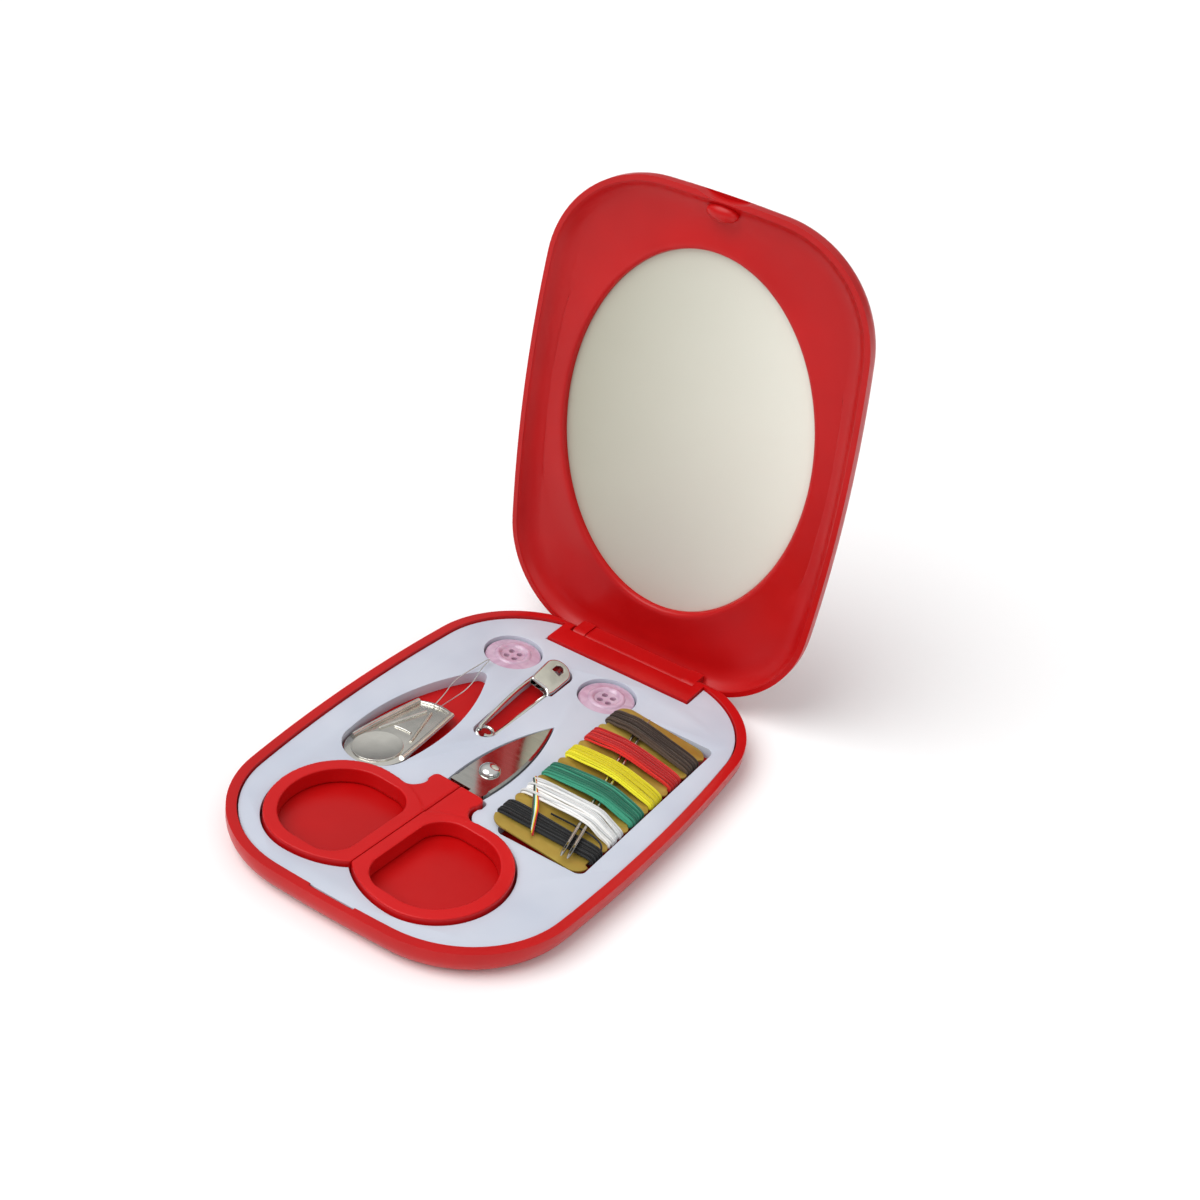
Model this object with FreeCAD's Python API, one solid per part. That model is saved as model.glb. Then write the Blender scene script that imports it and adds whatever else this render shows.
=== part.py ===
"""Pocket sewing kit: a hinged plastic case with a mirror in its lid and a fitted tray.

Millimetres. The origin is the centre of the flat underside of the base, +Z is up,
the hinge is at +Y and the latch at -Y. The lid stands open and every tool is stored.
"""
import FreeCAD, Part
import math
import os

Vector = FreeCAD.Vector

# Case outline: bowed sides, bowed ends and four corners tangent to both
case_width = 64.0
case_length = 90.8
side_bow_radius = 307.0
end_bow_radius = 285.0
corner_radius = 20.7

# Case walls
rim_width = 1.7
wall_upright = 1.2
wall_round = 4.0
floor_depth = 2.6
rim_gap = 0.15
overrun = 5.0

# Distance from the scissors to the front of the case and from the card to its right side
front_margin = 5.3
side_margin = 6.8

# Hinge: two arms of the lid turn on short pins held in two ears of the base
hinge_inset = 1.97
hinge_drop = 1.9
hinge_notch_width = 26.4
hinge_notch_length = 3.8
hinge_wall_width = 4.7
hinge_ear_width = 1.7
hinge_ear_gap = 0.2
hinge_arm_width = 2.6
hinge_arm_reach = 1.6
hinge_arm_gap = 0.2
hinge_floor_gap = 0.12
hinge_web_reach = 1.3
hinge_pin_diameter = 1.2
hinge_pin_hold = 1.4
hinge_pin_clearance = 0.04
lid_open_angle = 91.0

# Latch: a rounded nub on the lid drops into a shallow recess of the front rim
latch_recess_width = 8.4
latch_recess_depth = 0.5
latch_nub_width = 6.0
latch_nub_length = 3.0
latch_nub_drop = 0.3
latch_nub_rise = 1.6
latch_nub_gap = 0.2
thumb_scoop_radius = 14.0
thumb_scoop_depth = 0.9
thumb_scoop_height = 2.4

# Lid inside: dished panel, rounded bezel, oval mirror on adhesive tape
panel_depth = 3.2
panel_fillet = 1.8
bezel_width = 3.0
bezel_depth = 1.9
bezel_fillet = 1.0
mirror_width = 48.6
mirror_length = 68.2
mirror_thickness = 1.0
mirror_depth = 2.8
mirror_shift = 1.0
mirror_gap = 0.2
tape_thickness = 0.15
tape_inset = 2.0

# Tray: a sheet with a cut-out for every tool
tray_thickness = 2.1
tray_gap = 0.25
recess_gap = 0.4
seat_gap = 0.05

# Shirt buttons
button_diameter = 10.2
button_thickness = 2.0
button_edge_fillet = 0.5
button_dish_diameter = 6.8
button_dish_depth = 0.6
button_hole_diameter = 1.4
button_hole_spacing = 2.6
button_left_x = -17.0
button_right_x = 3.1
button_y = 28.9

# Scissors, drawn with the pivot at the origin and the tip towards +Y
scissors_x = 0.1
scissors_y = -3.0
scissors_turn = -3.6
blade_thickness = 0.8
blade_gap = 0.04
blade_reach = 17.5
blade_heel = 5.6
blade_half_width = 3.4
blade_bulge = 3.3
blade_bulge_y = 5.0
tang_width = 2.4
tang_offset = 0.8
tang_length = 9.0
tang_rise = 0.7
handle_thickness = 3.0
handle_shift = -0.5
handle_parting_gap = 0.1
bow_centre_x = 10.5
bow_centre_y = 24.75
bow_width = 21.6
bow_length = 24.7
bow_corner_radius = 4.5
bow_ring_width = 2.3
bow_hole_corner_radius = 5.0
bow_fillet = 0.6
neck_half_width = 5.3
neck_top = 7.0
neck_shoulder_drop = 1.0
neck_corner_fill = 2.4
rivet_diameter = 2.2
rivet_clearance = 0.05
rivet_head_diameter = 3.7
rivet_head_height = 1.1
rivet_tail_diameter = 3.4
rivet_tail_height = 0.5

# Needle threader, drawn with the centre of its round end at the origin
threader_x = -18.3
threader_y = -8.8
threader_turn = -2.4
threader_roll = 5.0
threader_rise = 1.0
threader_radius = 5.8
threader_length = 16.3
threader_top_half_width = 3.9
threader_top_bulge = 1.1
threader_thickness = 0.35
threader_disc_radius = 4.3
threader_disc_height = 0.4
threader_disc_y = -0.6
threader_rib_width = 0.8
threader_rib_start = 6.2
threader_rib_end = 13.0
threader_recess_tip = 28.7
threader_recess_wide = 4.7
threader_recess_wide_y = 19.5
threader_tip_half_width = 1.0
wire_diameter = 0.3
wire_root_y = 14.9
wire_root_half = 0.5
wire_wide_y = 23.0
wire_wide_half = 1.6
wire_tip_x = -0.95
wire_tip_y = 31.5
wire_tip_radius = 0.35
wire_tip_rise = 1.6
wire_seat = 0.02

# Safety pin, drawn with the centre of its coil at the origin and the cap towards +Y
pin_x = -7.2
pin_y = 6.2
pin_z = 4.2
pin_roll = 25.0
pin_pitch = 2.6
pin_wire_diameter = 0.7
pin_coil_radius = 1.3
pin_coil_rise = 1.25
pin_arm_end = 20.0
pin_arm_spread = 1.9
pin_joint_gap = 0.15
pin_open_angle = 30.0
cap_width = 5.2
cap_length = 8.4
cap_start = 16.0
cap_thickness = 1.7
cap_fillet = 0.5
cap_slot_height = 0.9
cap_slot_end = 20.4
cap_eye_diameter = 1.5
cap_eye_y = 22.2
pin_recess_right = 2.35

# Thread card, drawn flat about its own centre
card_x = 16.3
card_y = 6.5
card_z = 4.82
card_roll = 6.5
card_width = 17.8
card_length = 41.4
card_thickness = 0.4
card_notch = 0.7
card_corner = 2.5
card_recess_left = 7.0
card_recess_gap = 0.6
card_recess_corner = 1.5

# Thread windings on the card
winding_pitch = 6.32
winding_loops = 4
thread_diameter = 0.6
thread_pitch = 1.06
thread_lift = 0.1
thread_end_run = 1.2
thread_clearance = 0.16
winding_names = ["brown", "red", "yellow", "green", "white", "black"]
winding_slants = [0.45, 0.1, 0.3, -0.4, -0.2, -0.45]

# Loose thread ends beside the black winding
tail_diameter = 0.45
tail_spacing = 0.65
tail_start_x = -7.2
tail_start_y = -10.6
tail_end_x = -1.6
tail_end_y = -18.6
tail_rise = 0.45

# Needles, lying from the back of the card to its front
needle_diameter = 0.7
needle_spacing = 1.3
needle_back_x = -3.8
needle_back_y = 20.3
needle_front_x = 5.4
needle_front_y = -20.4
needle_back_rise = 0.4
needle_front_rise = 1.45
needle_point_length = 5.0
needle_point_radius = 0.06
needle_eye_length = 2.4
needle_eye_width = 0.3
needle_eye_from_end = 0.8

# Heights closer than this are one level, and turns below this share of a radian are straight
level_tolerance = 0.001
straight_share = 0.0005

# Levels and places that follow from the sizes above
rim_z = wall_upright + wall_round
floor_z = rim_z - floor_depth
tray_top_z = floor_z + tray_thickness
lid_rim_z = rim_z + rim_gap
hinge_y = case_length / 2 - hinge_inset
hinge_z = rim_z - hinge_drop
seat_z = floor_z + seat_gap
hinge_point = Vector(0, hinge_y, hinge_z)
across = Vector(1, 0, 0)
along = Vector(0, 1, 0)
upward = Vector(0, 0, 1)

# The case that the tools fill: in another one they move with it, in a smaller one they shrink together
layout_width = 2 * (card_x + card_width / 2 + side_margin)
layout_length = 2 * (bow_centre_y + bow_length / 2 - scissors_y + front_margin)
width_share = case_width / layout_width
length_share = case_length / layout_length
tool_share = min(width_share, length_share, 1)


def save(shape, name):
    """Write one piece to its own file."""
    shape.exportStep("parts/" + name + ".step")
    print(name, "volume", round(shape.Volume, 2), "valid", shape.isValid())


def line(start, end):
    return Part.LineSegment(start, end).toShape()


def arc(start, middle, end):
    return Part.Arc(start, middle, end).toShape()


def prism(wires, height):
    """Raise a flat outline, with any holes after it, by a height along Z."""
    return Part.Face(wires).extrude(upward * height)


def polygon(points):
    return Part.makePolygon(points + [points[0]])


def ellipse(centre, half_x, half_y):
    """A closed ellipse; the longer half axis may lie along X or Y."""
    if half_x >= half_y:
        curve = Part.Ellipse(centre + across * half_x, centre + along * half_y, centre)
    else:
        curve = Part.Ellipse(centre + along * half_y, centre - across * half_x, centre)
    return Part.Wire([curve.toShape()])


def block(x_from, x_to, y_from, y_to, z_from, z_to):
    corner = Vector(x_from, y_from, z_from)
    return Part.makeBox(x_to - x_from, y_to - y_from, z_to - z_from, corner)


def edges_at(shape, level):
    """The edges of a shape that lie flat at one height."""
    flat = []
    for edge in shape.Edges:
        box = edge.BoundBox
        if abs(box.ZMin - level) < level_tolerance and abs(box.ZMax - level) < level_tolerance:
            flat.append(edge)
    return flat


def settle(shape, x, y, middle, level):
    """Fit a tool to the case about its middle, keeping the level it rests on, and move it to its place."""
    shape.scale(tool_share, Vector(0, middle, level))
    shape.translate(Vector(x * width_share, (y + middle) * length_share - middle, 0))
    return shape


def case_outline(inset, level):
    """The outline of the case, moved inwards by an inset."""
    half_width = case_width / 2 - inset
    half_length = case_length / 2 - inset
    side_radius = side_bow_radius - inset
    end_radius = end_bow_radius - inset
    round_radius = corner_radius - inset
    side_centre = Vector(half_width - side_radius, 0, level)
    end_centre = Vector(0, half_length - end_radius, level)
    # The corner centre lies where its distances to both bow centres allow tangent arcs
    gap = end_centre - side_centre
    reach_side = side_radius - round_radius
    reach_end = end_radius - round_radius
    along_gap = (reach_side ** 2 - reach_end ** 2 + gap.Length ** 2) / (2 * gap.Length)
    off_gap = math.sqrt(reach_side ** 2 - along_gap ** 2)
    unit = gap / gap.Length
    normal = Vector(-unit.y, unit.x, 0)
    corner = side_centre + unit * along_gap + normal * off_gap
    side_point = side_centre + (corner - side_centre) / reach_side * side_radius
    end_point = end_centre + (corner - end_centre) / reach_end * end_radius
    bisector = (side_point - corner) + (end_point - corner)
    round_point = corner + bisector / bisector.Length * round_radius

    def place(point, sign_x, sign_y):
        return Vector(point.x * sign_x, point.y * sign_y, point.z)

    edges = []
    edges.append(arc(place(side_point, 1, -1), Vector(half_width, 0, level), side_point))
    edges.append(arc(side_point, round_point, end_point))
    edges.append(arc(end_point, Vector(0, half_length, level), place(end_point, -1, 1)))
    edges.append(arc(place(end_point, -1, 1), place(round_point, -1, 1), place(side_point, -1, 1)))
    edges.append(arc(place(side_point, -1, 1), Vector(-half_width, 0, level), place(side_point, -1, -1)))
    edges.append(arc(place(side_point, -1, -1), place(round_point, -1, -1), place(end_point, -1, -1)))
    edges.append(arc(place(end_point, -1, -1), Vector(0, -half_length, level), place(end_point, 1, -1)))
    edges.append(arc(place(end_point, 1, -1), place(round_point, 1, -1), place(side_point, 1, -1)))
    return Part.Wire(edges)


def bowl(rim_level, direction):
    """Half a case: an upright wall at the rim that rounds over into a flat panel."""
    height = (wall_upright + wall_round) * direction
    solid = prism(case_outline(0, rim_level), height)
    return solid.makeFillet(wall_round, edges_at(solid, rim_level + height))


def across_cylinder(radius, x_from, x_to):
    """A cylinder round the hinge axis."""
    return Part.makeCylinder(radius, x_to - x_from, Vector(x_from, hinge_y, hinge_z), across)


def span(sign, near, far):
    """Low and high X of a stretch that runs outwards on one side."""
    return min(sign * near, sign * far), max(sign * near, sign * far)


def mirror_wire(grow, level):
    centre = Vector(0, -mirror_shift, level)
    return ellipse(centre, mirror_width * tool_share / 2 + grow, mirror_length * tool_share / 2 + grow)


# Places along the hinge
notch_half = hinge_notch_width / 2
arm_outer = notch_half - hinge_arm_gap
arm_inner = arm_outer - hinge_arm_width
pocket_floor_z = hinge_z - hinge_arm_reach - hinge_floor_gap
pocket_front_y = case_length / 2 - hinge_notch_length
hinge_block_front_y = pocket_front_y - hinge_wall_width
hinge_block_half = notch_half + hinge_ear_width
latch_inner_y = -(case_length / 2 - rim_width)


def make_base_shell():
    shell = bowl(rim_z, -1)
    cavity = prism(case_outline(rim_width, floor_z), floor_depth + overrun)
    hinge_block = block(-hinge_block_half, hinge_block_half, hinge_block_front_y,
                        case_length / 2 + overrun, 0, rim_z + overrun)
    shell = shell.cut(cavity.cut(hinge_block))
    pocket = block(-notch_half, notch_half, pocket_front_y, case_length / 2 + overrun,
                   pocket_floor_z, rim_z + overrun)
    shell = shell.cut(pocket)
    # The ears are rounded about the hinge axis so that the rim of the lid swings past them
    behind = block(-case_width / 2, case_width / 2, hinge_y, case_length / 2 + overrun,
                   hinge_z, rim_z + overrun)
    ear_round = across_cylinder(hinge_drop - hinge_ear_gap, -case_width / 2, case_width / 2)
    shell = shell.cut(behind.cut(ear_round))
    for sign in (-1, 1):
        low, high = span(sign, notch_half, notch_half + hinge_pin_hold)
        shell = shell.cut(across_cylinder(hinge_pin_diameter / 2, low, high))
    latch_recess = block(-latch_recess_width / 2, latch_recess_width / 2,
                         latch_inner_y - latch_recess_depth, latch_inner_y + overrun,
                         tray_top_z, rim_z + overrun)
    return shell.cut(latch_recess)


def make_hinge_pin(sign):
    low, high = span(sign, arm_inner, notch_half + hinge_pin_hold)
    return across_cylinder(hinge_pin_diameter / 2, low, high)


def hinge_arm(low, high, reach):
    """A stretch of the lid that goes down to the hinge axis and is rounded about it."""
    upright = block(low, high, hinge_y - reach, hinge_y + reach, hinge_z, lid_rim_z + wall_upright)
    return upright.fuse(across_cylinder(reach, low, high))


def make_lid_shell():
    """The lid, drawn closed on the base."""
    shell = bowl(lid_rim_z, 1)
    dish = prism(case_outline(rim_width, lid_rim_z - overrun), overrun + panel_depth)
    shell = shell.cut(dish.makeFillet(panel_fillet, edges_at(dish, lid_rim_z + panel_depth)))
    bezel_z = lid_rim_z + bezel_depth
    bezel = prism([mirror_wire(mirror_gap + bezel_width, bezel_z)], panel_depth - bezel_depth + panel_fillet)
    outer_edge = edges_at(bezel, bezel_z)
    bezel = bezel.makeFillet(bezel_fillet, outer_edge)
    shell = shell.fuse(bezel.common(bowl(lid_rim_z, 1)))
    seat_depth = mirror_depth + mirror_thickness + tape_thickness
    seat = prism([mirror_wire(mirror_gap, lid_rim_z)], seat_depth)
    shell = shell.cut(seat)
    shell = shell.fuse(hinge_arm(-arm_inner, arm_inner, hinge_web_reach))
    for sign in (-1, 1):
        low, high = span(sign, arm_inner, arm_outer)
        shell = shell.fuse(hinge_arm(low, high, hinge_arm_reach))
        low, high = span(sign, arm_inner - hinge_arm_gap, arm_outer)
        shell = shell.cut(across_cylinder(hinge_pin_diameter / 2 + hinge_pin_clearance, low, high))
    nub_y = latch_inner_y - latch_recess_depth + latch_nub_gap + latch_nub_length / 2
    nub_wire = ellipse(Vector(0, nub_y, lid_rim_z - latch_nub_drop - rim_gap),
                       latch_nub_width / 2, latch_nub_length / 2)
    shell = shell.fuse(prism([nub_wire], latch_nub_drop + rim_gap + latch_nub_rise))
    scoop_y = -case_length / 2 + thumb_scoop_depth - thumb_scoop_radius
    scoop = Part.makeCylinder(thumb_scoop_radius, thumb_scoop_height + overrun,
                              Vector(0, scoop_y, lid_rim_z - overrun))
    return shell.cut(scoop).removeSplitter()


def make_mirror():
    return prism([mirror_wire(0, lid_rim_z + mirror_depth)], mirror_thickness)


def make_mirror_tape():
    return prism([mirror_wire(-tape_inset, lid_rim_z + mirror_depth + mirror_thickness)], tape_thickness)


def open_lid(shape):
    """Swing a piece of the closed lid about the hinge axis to where it stands open."""
    shape.rotate(hinge_point, across, -lid_open_angle)
    return shape


# Levels inside the scissors
handle_z = seat_z
lower_blade_z = handle_z + tang_rise
upper_blade_z = lower_blade_z + blade_thickness + blade_gap


def place_scissors(shape):
    shape.rotate(Vector(0, 0, 0), upward, scissors_turn)
    middle = (blade_reach - bow_centre_y - bow_length / 2) / 2
    return settle(shape, scissors_x, scissors_y, middle, floor_z)


def blade_wire(grow, level):
    """A leaf-shaped outline with a straight heel."""
    half = blade_half_width + grow
    heel = -blade_heel - grow
    tip = Vector(0, blade_reach + grow, level)
    left_heel = Vector(-half, heel, level)
    right_heel = Vector(half, heel, level)
    left_bulge = Vector(-blade_bulge - grow, blade_bulge_y, level)
    right_bulge = Vector(blade_bulge + grow, blade_bulge_y, level)
    left_edge = arc(left_heel, left_bulge, tip)
    right_edge = arc(tip, right_bulge, right_heel)
    return Part.Wire([left_edge, right_edge, line(right_heel, left_heel)])


def tang(sign, level):
    """The tongue of a blade that the handle is moulded on."""
    low, high = span(sign, tang_offset, tang_offset + tang_width)
    return block(low, high, -blade_heel - tang_length, -blade_heel, level, level + blade_thickness)


def make_scissor_blade(sign, level):
    blade = prism([blade_wire(0, level)], blade_thickness)
    blade = blade.fuse(tang(sign, level)).removeSplitter()
    return blade.cut(Part.makeCylinder(rivet_diameter / 2 + rivet_clearance, blade_thickness, Vector(0, 0, level)))


def bow_solid(sign, inset, corner, level, height):
    """A finger bow: straight along the parting line with two rounded corners, half an ellipse outside."""
    centre = Vector(sign * bow_centre_x + handle_shift, -bow_centre_y, level)
    half_length = bow_length / 2 - inset
    round_half = prism([ellipse(centre, bow_width - bow_centre_x - inset, half_length)], height)
    low, high = span(sign, inset, bow_centre_x)
    straight_half = block(low + handle_shift, high + handle_shift, centre.y - half_length, centre.y + half_length,
                          level, level + height)
    inner_x = sign * inset + handle_shift
    corners = []
    for edge in straight_half.Edges:
        box = edge.BoundBox
        if box.ZLength > height / 2 and abs(box.Center.x - inner_x) < level_tolerance:
            corners.append(edge)
    return round_half.fuse(straight_half.makeFillet(corner, corners)).removeSplitter()


def neck_wire(sign, grow, level):
    """The straight part of a handle above its finger bow and beside its hole, with a filled outer corner."""
    half = neck_half_width + grow
    top = -neck_top + grow
    bow_top = -bow_centre_y + bow_length / 2 + grow
    outline = [
        Vector(0, top, level),
        Vector(half - neck_shoulder_drop, top, level),
        Vector(half, top - neck_shoulder_drop, level),
        Vector(half, bow_top + neck_corner_fill, level),
        Vector(half + neck_corner_fill, bow_top, level),
        Vector(half + neck_corner_fill, bow_top - bow_ring_width / 2, level),
        Vector(bow_ring_width / 2, -bow_centre_y, level),
        Vector(0, -bow_centre_y, level),
    ]
    return polygon([Vector(point.x * sign + handle_shift, point.y, point.z) for point in outline])


def make_bow(sign, hole):
    """A finger ring, rounded outside first and then round its hole."""
    top_z = handle_z + handle_thickness
    disc = bow_solid(sign, 0, bow_corner_radius, handle_z, handle_thickness)
    disc = disc.makeFillet(bow_fillet, edges_at(disc, handle_z) + edges_at(disc, top_z))
    ring = disc.cut(hole)
    within = hole.BoundBox
    within.enlarge(level_tolerance)
    rims = edges_at(ring, handle_z) + edges_at(ring, top_z)
    return ring.makeFillet(bow_fillet, [edge for edge in rims if within.isInside(edge.BoundBox)])


def make_scissor_handle(sign, tang_z):
    hole = bow_solid(sign, bow_ring_width, bow_hole_corner_radius, handle_z, handle_thickness)
    neck = prism([neck_wire(sign, 0, handle_z)], handle_thickness).cut(hole)
    handle = make_bow(sign, hole).fuse(neck)
    low, high = span(sign, handle_parting_gap / 2, case_width)
    half_space = block(low + handle_shift, high + handle_shift, -case_length, 0,
                       handle_z - overrun, handle_z + handle_thickness + overrun)
    handle = handle.common(half_space)
    return handle.cut(tang(sign, tang_z)).removeSplitter()


def make_scissor_rivet():
    """A shank with a domed head above the blades and a flat tail below them."""
    shank_bottom = lower_blade_z - blade_gap
    shank_top = upper_blade_z + blade_thickness + blade_gap
    shank = Part.makeCylinder(rivet_diameter / 2, shank_top - shank_bottom, Vector(0, 0, shank_bottom))
    tail = Part.makeCylinder(rivet_tail_diameter / 2, rivet_tail_height,
                             Vector(0, 0, shank_bottom - rivet_tail_height))
    head_half = rivet_head_diameter / 2
    dome_radius = (head_half ** 2 + rivet_head_height ** 2) / (2 * rivet_head_height)
    ball = Part.makeSphere(dome_radius, Vector(0, 0, shank_top + rivet_head_height - dome_radius))
    above = Part.makeCylinder(dome_radius, dome_radius, Vector(0, 0, shank_top))
    return shank.fuse(tail).fuse(ball.common(above)).removeSplitter()


def place_threader(shape):
    shape.rotate(Vector(0, 0, 0), upward, threader_turn)
    middle = (threader_recess_tip - threader_radius) / 2
    return settle(shape, threader_x, threader_y, middle, floor_z)


def lay_threader(shape):
    """Lay the threader in its recess, off the floor and with its right side up."""
    shape.rotate(Vector(0, 0, seat_z), along, -threader_roll)
    shape.translate(upward * threader_rise)
    return place_threader(shape)


def plate_wire(level):
    """A round end, two straight sides tangent to it and a gently bowed far end."""
    lean = math.atan2(threader_radius - threader_top_half_width, threader_length)
    side_x = threader_radius * math.cos(lean)
    side_y = threader_radius * math.sin(lean)
    top_y = threader_length - threader_top_bulge
    left = Vector(-side_x, side_y, level)
    right = Vector(side_x, side_y, level)
    top_left = Vector(-threader_top_half_width, top_y, level)
    top_right = Vector(threader_top_half_width, top_y, level)
    edges = [
        arc(left, Vector(0, -threader_radius, level), right),
        line(right, top_right),
        arc(top_right, Vector(0, threader_length, level), top_left),
        line(top_left, left),
    ]
    return Part.Wire(edges)


def threader_recess_wire(level):
    """A round end and two bowed sides that close to a blunt tip."""
    half = threader_radius + recess_gap
    tip_half = threader_tip_half_width
    tip_y = threader_recess_tip - tip_half / 2
    left_tip = Vector(-tip_half, tip_y, level)
    right_tip = Vector(tip_half, tip_y, level)
    left_wide = Vector(-threader_recess_wide, threader_recess_wide_y, level)
    right_wide = Vector(threader_recess_wide, threader_recess_wide_y, level)
    edges = [
        arc(Vector(-half, 0, level), Vector(0, -half, level), Vector(half, 0, level)),
        arc(Vector(half, 0, level), right_wide, right_tip),
        arc(right_tip, Vector(0, threader_recess_tip, level), left_tip),
        arc(left_tip, left_wide, Vector(-half, 0, level)),
    ]
    return Part.Wire(edges)


def make_threader_plate():
    plate = prism([plate_wire(seat_z)], threader_thickness)
    top = seat_z + threader_thickness
    disc = Part.makeCylinder(threader_disc_radius, threader_disc_height, Vector(0, threader_disc_y, top))
    rib = block(-threader_rib_width / 2, threader_rib_width / 2, threader_rib_start, threader_rib_end,
                top, top + threader_disc_height)
    return plate.fuse(disc).fuse(rib).removeSplitter()


def rounded_path(points, radii):
    """Straight runs joined by tangent arcs, one radius for each inner point."""
    edges = []
    start = points[0]
    for index, radius in enumerate(radii):
        corner = points[index + 1]
        to_start = (points[index] - corner).normalize()
        to_end = (points[index + 2] - corner).normalize()
        half_angle = to_start.getAngle(to_end) / 2
        set_back = radius / math.tan(half_angle)
        first = corner + to_start * set_back
        last = corner + to_end * set_back
        bisector = (to_start + to_end).normalize()
        middle = corner + bisector * (radius / math.sin(half_angle) - radius)
        edges.append(line(start, first))
        edges.append(arc(first, middle, last))
        start = last
    edges.append(line(start, points[-1]))
    return Part.Wire(edges)


def tube(path, diameter):
    """A round wire swept along a path of lines and arcs."""
    first = path.OrderedEdges[0]
    start = first.valueAt(first.FirstParameter)
    heading = first.tangentAt(first.FirstParameter)
    if (path.OrderedVertexes[0].Point - start).Length > diameter:
        start = first.valueAt(first.LastParameter)
        heading = first.tangentAt(first.LastParameter) * -1
    profile = Part.Wire([Part.makeCircle(diameter / 2, start, heading)])
    sweep = Part.BRepOffsetAPI.MakePipeShell(path)
    sweep.add(profile)
    sweep.build()
    sweep.makeSolid()
    solid = sweep.shape()
    expected = math.pi * diameter ** 2 / 4 * path.Length
    print("tube volume over section times length", round(solid.Volume / expected, 4))
    return solid


def make_threader_wire():
    """A fine loop that rises from the plate over the tray, whose thickness stays, to a narrow tip."""
    low = seat_z + threader_thickness + wire_diameter / 2 + wire_seat
    rise = wire_tip_rise / tool_share
    middle = low + rise * (wire_wide_y - wire_root_y) / (wire_tip_y - wire_root_y)
    high = low + rise
    middle_x = wire_tip_x * (wire_wide_y - wire_root_y) / (wire_tip_y - wire_root_y)
    points = [
        Vector(-wire_root_half, wire_root_y, low),
        Vector(middle_x - wire_wide_half, wire_wide_y, middle),
        Vector(wire_tip_x - wire_tip_radius, wire_tip_y, high),
        Vector(wire_tip_x + wire_tip_radius, wire_tip_y, high),
        Vector(middle_x + wire_wide_half, wire_wide_y, middle),
        Vector(wire_root_half, wire_root_y, low),
    ]
    radii = [wire_tip_y - wire_wide_y, wire_tip_radius, wire_tip_radius, wire_tip_y - wire_wide_y]
    return tube(rounded_path(points, radii), wire_diameter)


def biarc(start, start_heading, end, end_heading):
    """Two tangent arcs, or a line, from one point and heading to another."""
    chord = end - start
    turn = 2 * (1 - start_heading.dot(end_heading))
    reach = chord.dot(start_heading + end_heading)
    if turn < straight_share ** 2:
        lever = chord.dot(chord) / (2 * reach)
    else:
        lever = (math.sqrt(reach ** 2 + turn * chord.dot(chord)) - reach) / turn
    joint = (start + start_heading * lever + end - end_heading * lever) / 2
    return single_arc(start, start_heading, joint) + single_arc(end, end_heading * -1, joint, True)


def single_arc(start, heading, end, reverse=False):
    """One arc that leaves a point along a heading and ends at another point."""
    chord = end - start
    direction = chord / chord.Length
    bend = heading.getAngle(chord)
    if bend < straight_share:
        return [line(end, start)] if reverse else [line(start, end)]
    half_way = (heading + direction).normalize()
    middle = start + half_way * (chord.Length / (2 * math.cos(bend / 2)))
    return [arc(end, middle, start)] if reverse else [arc(start, middle, end)]


def least_gap(path, diameter):
    """The smallest clear distance between stretches of one tube, measured on points."""
    step = diameter / 3
    count = int(path.Length / step)
    points = path.discretize(count)
    apart = int(4 * diameter / step)
    least = path.Length
    for index, point in enumerate(points):
        for other in points[index + apart:]:
            distance = (other - point).Length
            if distance < least:
                least = distance
    return least - diameter


# Levels of the two ends of the safety pin's coil and the middle of its length
coil_low = -pin_coil_rise / 2
coil_high = pin_coil_rise / 2
pin_middle = (cap_start + cap_length) / 2


def place_pin(shape):
    shape.rotate(Vector(0, 0, 0), along, pin_roll)
    shape.rotate(Vector(0, 0, 0), across, pin_pitch)
    shape.translate(upward * pin_z)
    return settle(shape, pin_x, pin_y, pin_middle, floor_z)


def make_safety_pin_back():
    """The fixed arm and the coil, one wire that curls round the coil centre and rises."""
    right_low = Vector(pin_coil_radius, 0, coil_low)
    left_low = Vector(-pin_coil_radius, 0, coil_low)
    right_high = Vector(pin_coil_radius, 0, coil_high)
    front_high = Vector(0, -pin_coil_radius, coil_high)
    edges = []
    edges += biarc(Vector(pin_arm_spread, pin_arm_end, 0), along * -1, right_low, along * -1)
    edges += biarc(right_low, along * -1, left_low, along)
    edges += biarc(left_low, along, right_high, along * -1)
    edges += biarc(right_high, along * -1, front_high, across * -1)
    path = Part.Wire(edges)
    print("safety pin coil least gap", round(least_gap(path, pin_wire_diameter), 3))
    return tube(path, pin_wire_diameter)


def make_safety_pin_arm():
    """The pointed arm, which starts far enough from the end of the coil to swing out of the cap."""
    start_angle = math.radians(pin_open_angle) + pin_joint_gap / pin_coil_radius
    start_x = -pin_coil_radius * math.sin(start_angle)
    start_y = -pin_coil_radius * math.cos(start_angle)
    heading = Vector(-math.cos(start_angle), math.sin(start_angle), 0)
    left_high = Vector(-pin_coil_radius, 0, coil_high)
    edges = []
    edges += biarc(Vector(start_x, start_y, coil_high), heading, left_high, along)
    edges += biarc(left_high, along, Vector(-pin_arm_spread, pin_arm_end, 0), along)
    return tube(Part.Wire(edges), pin_wire_diameter)


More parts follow.
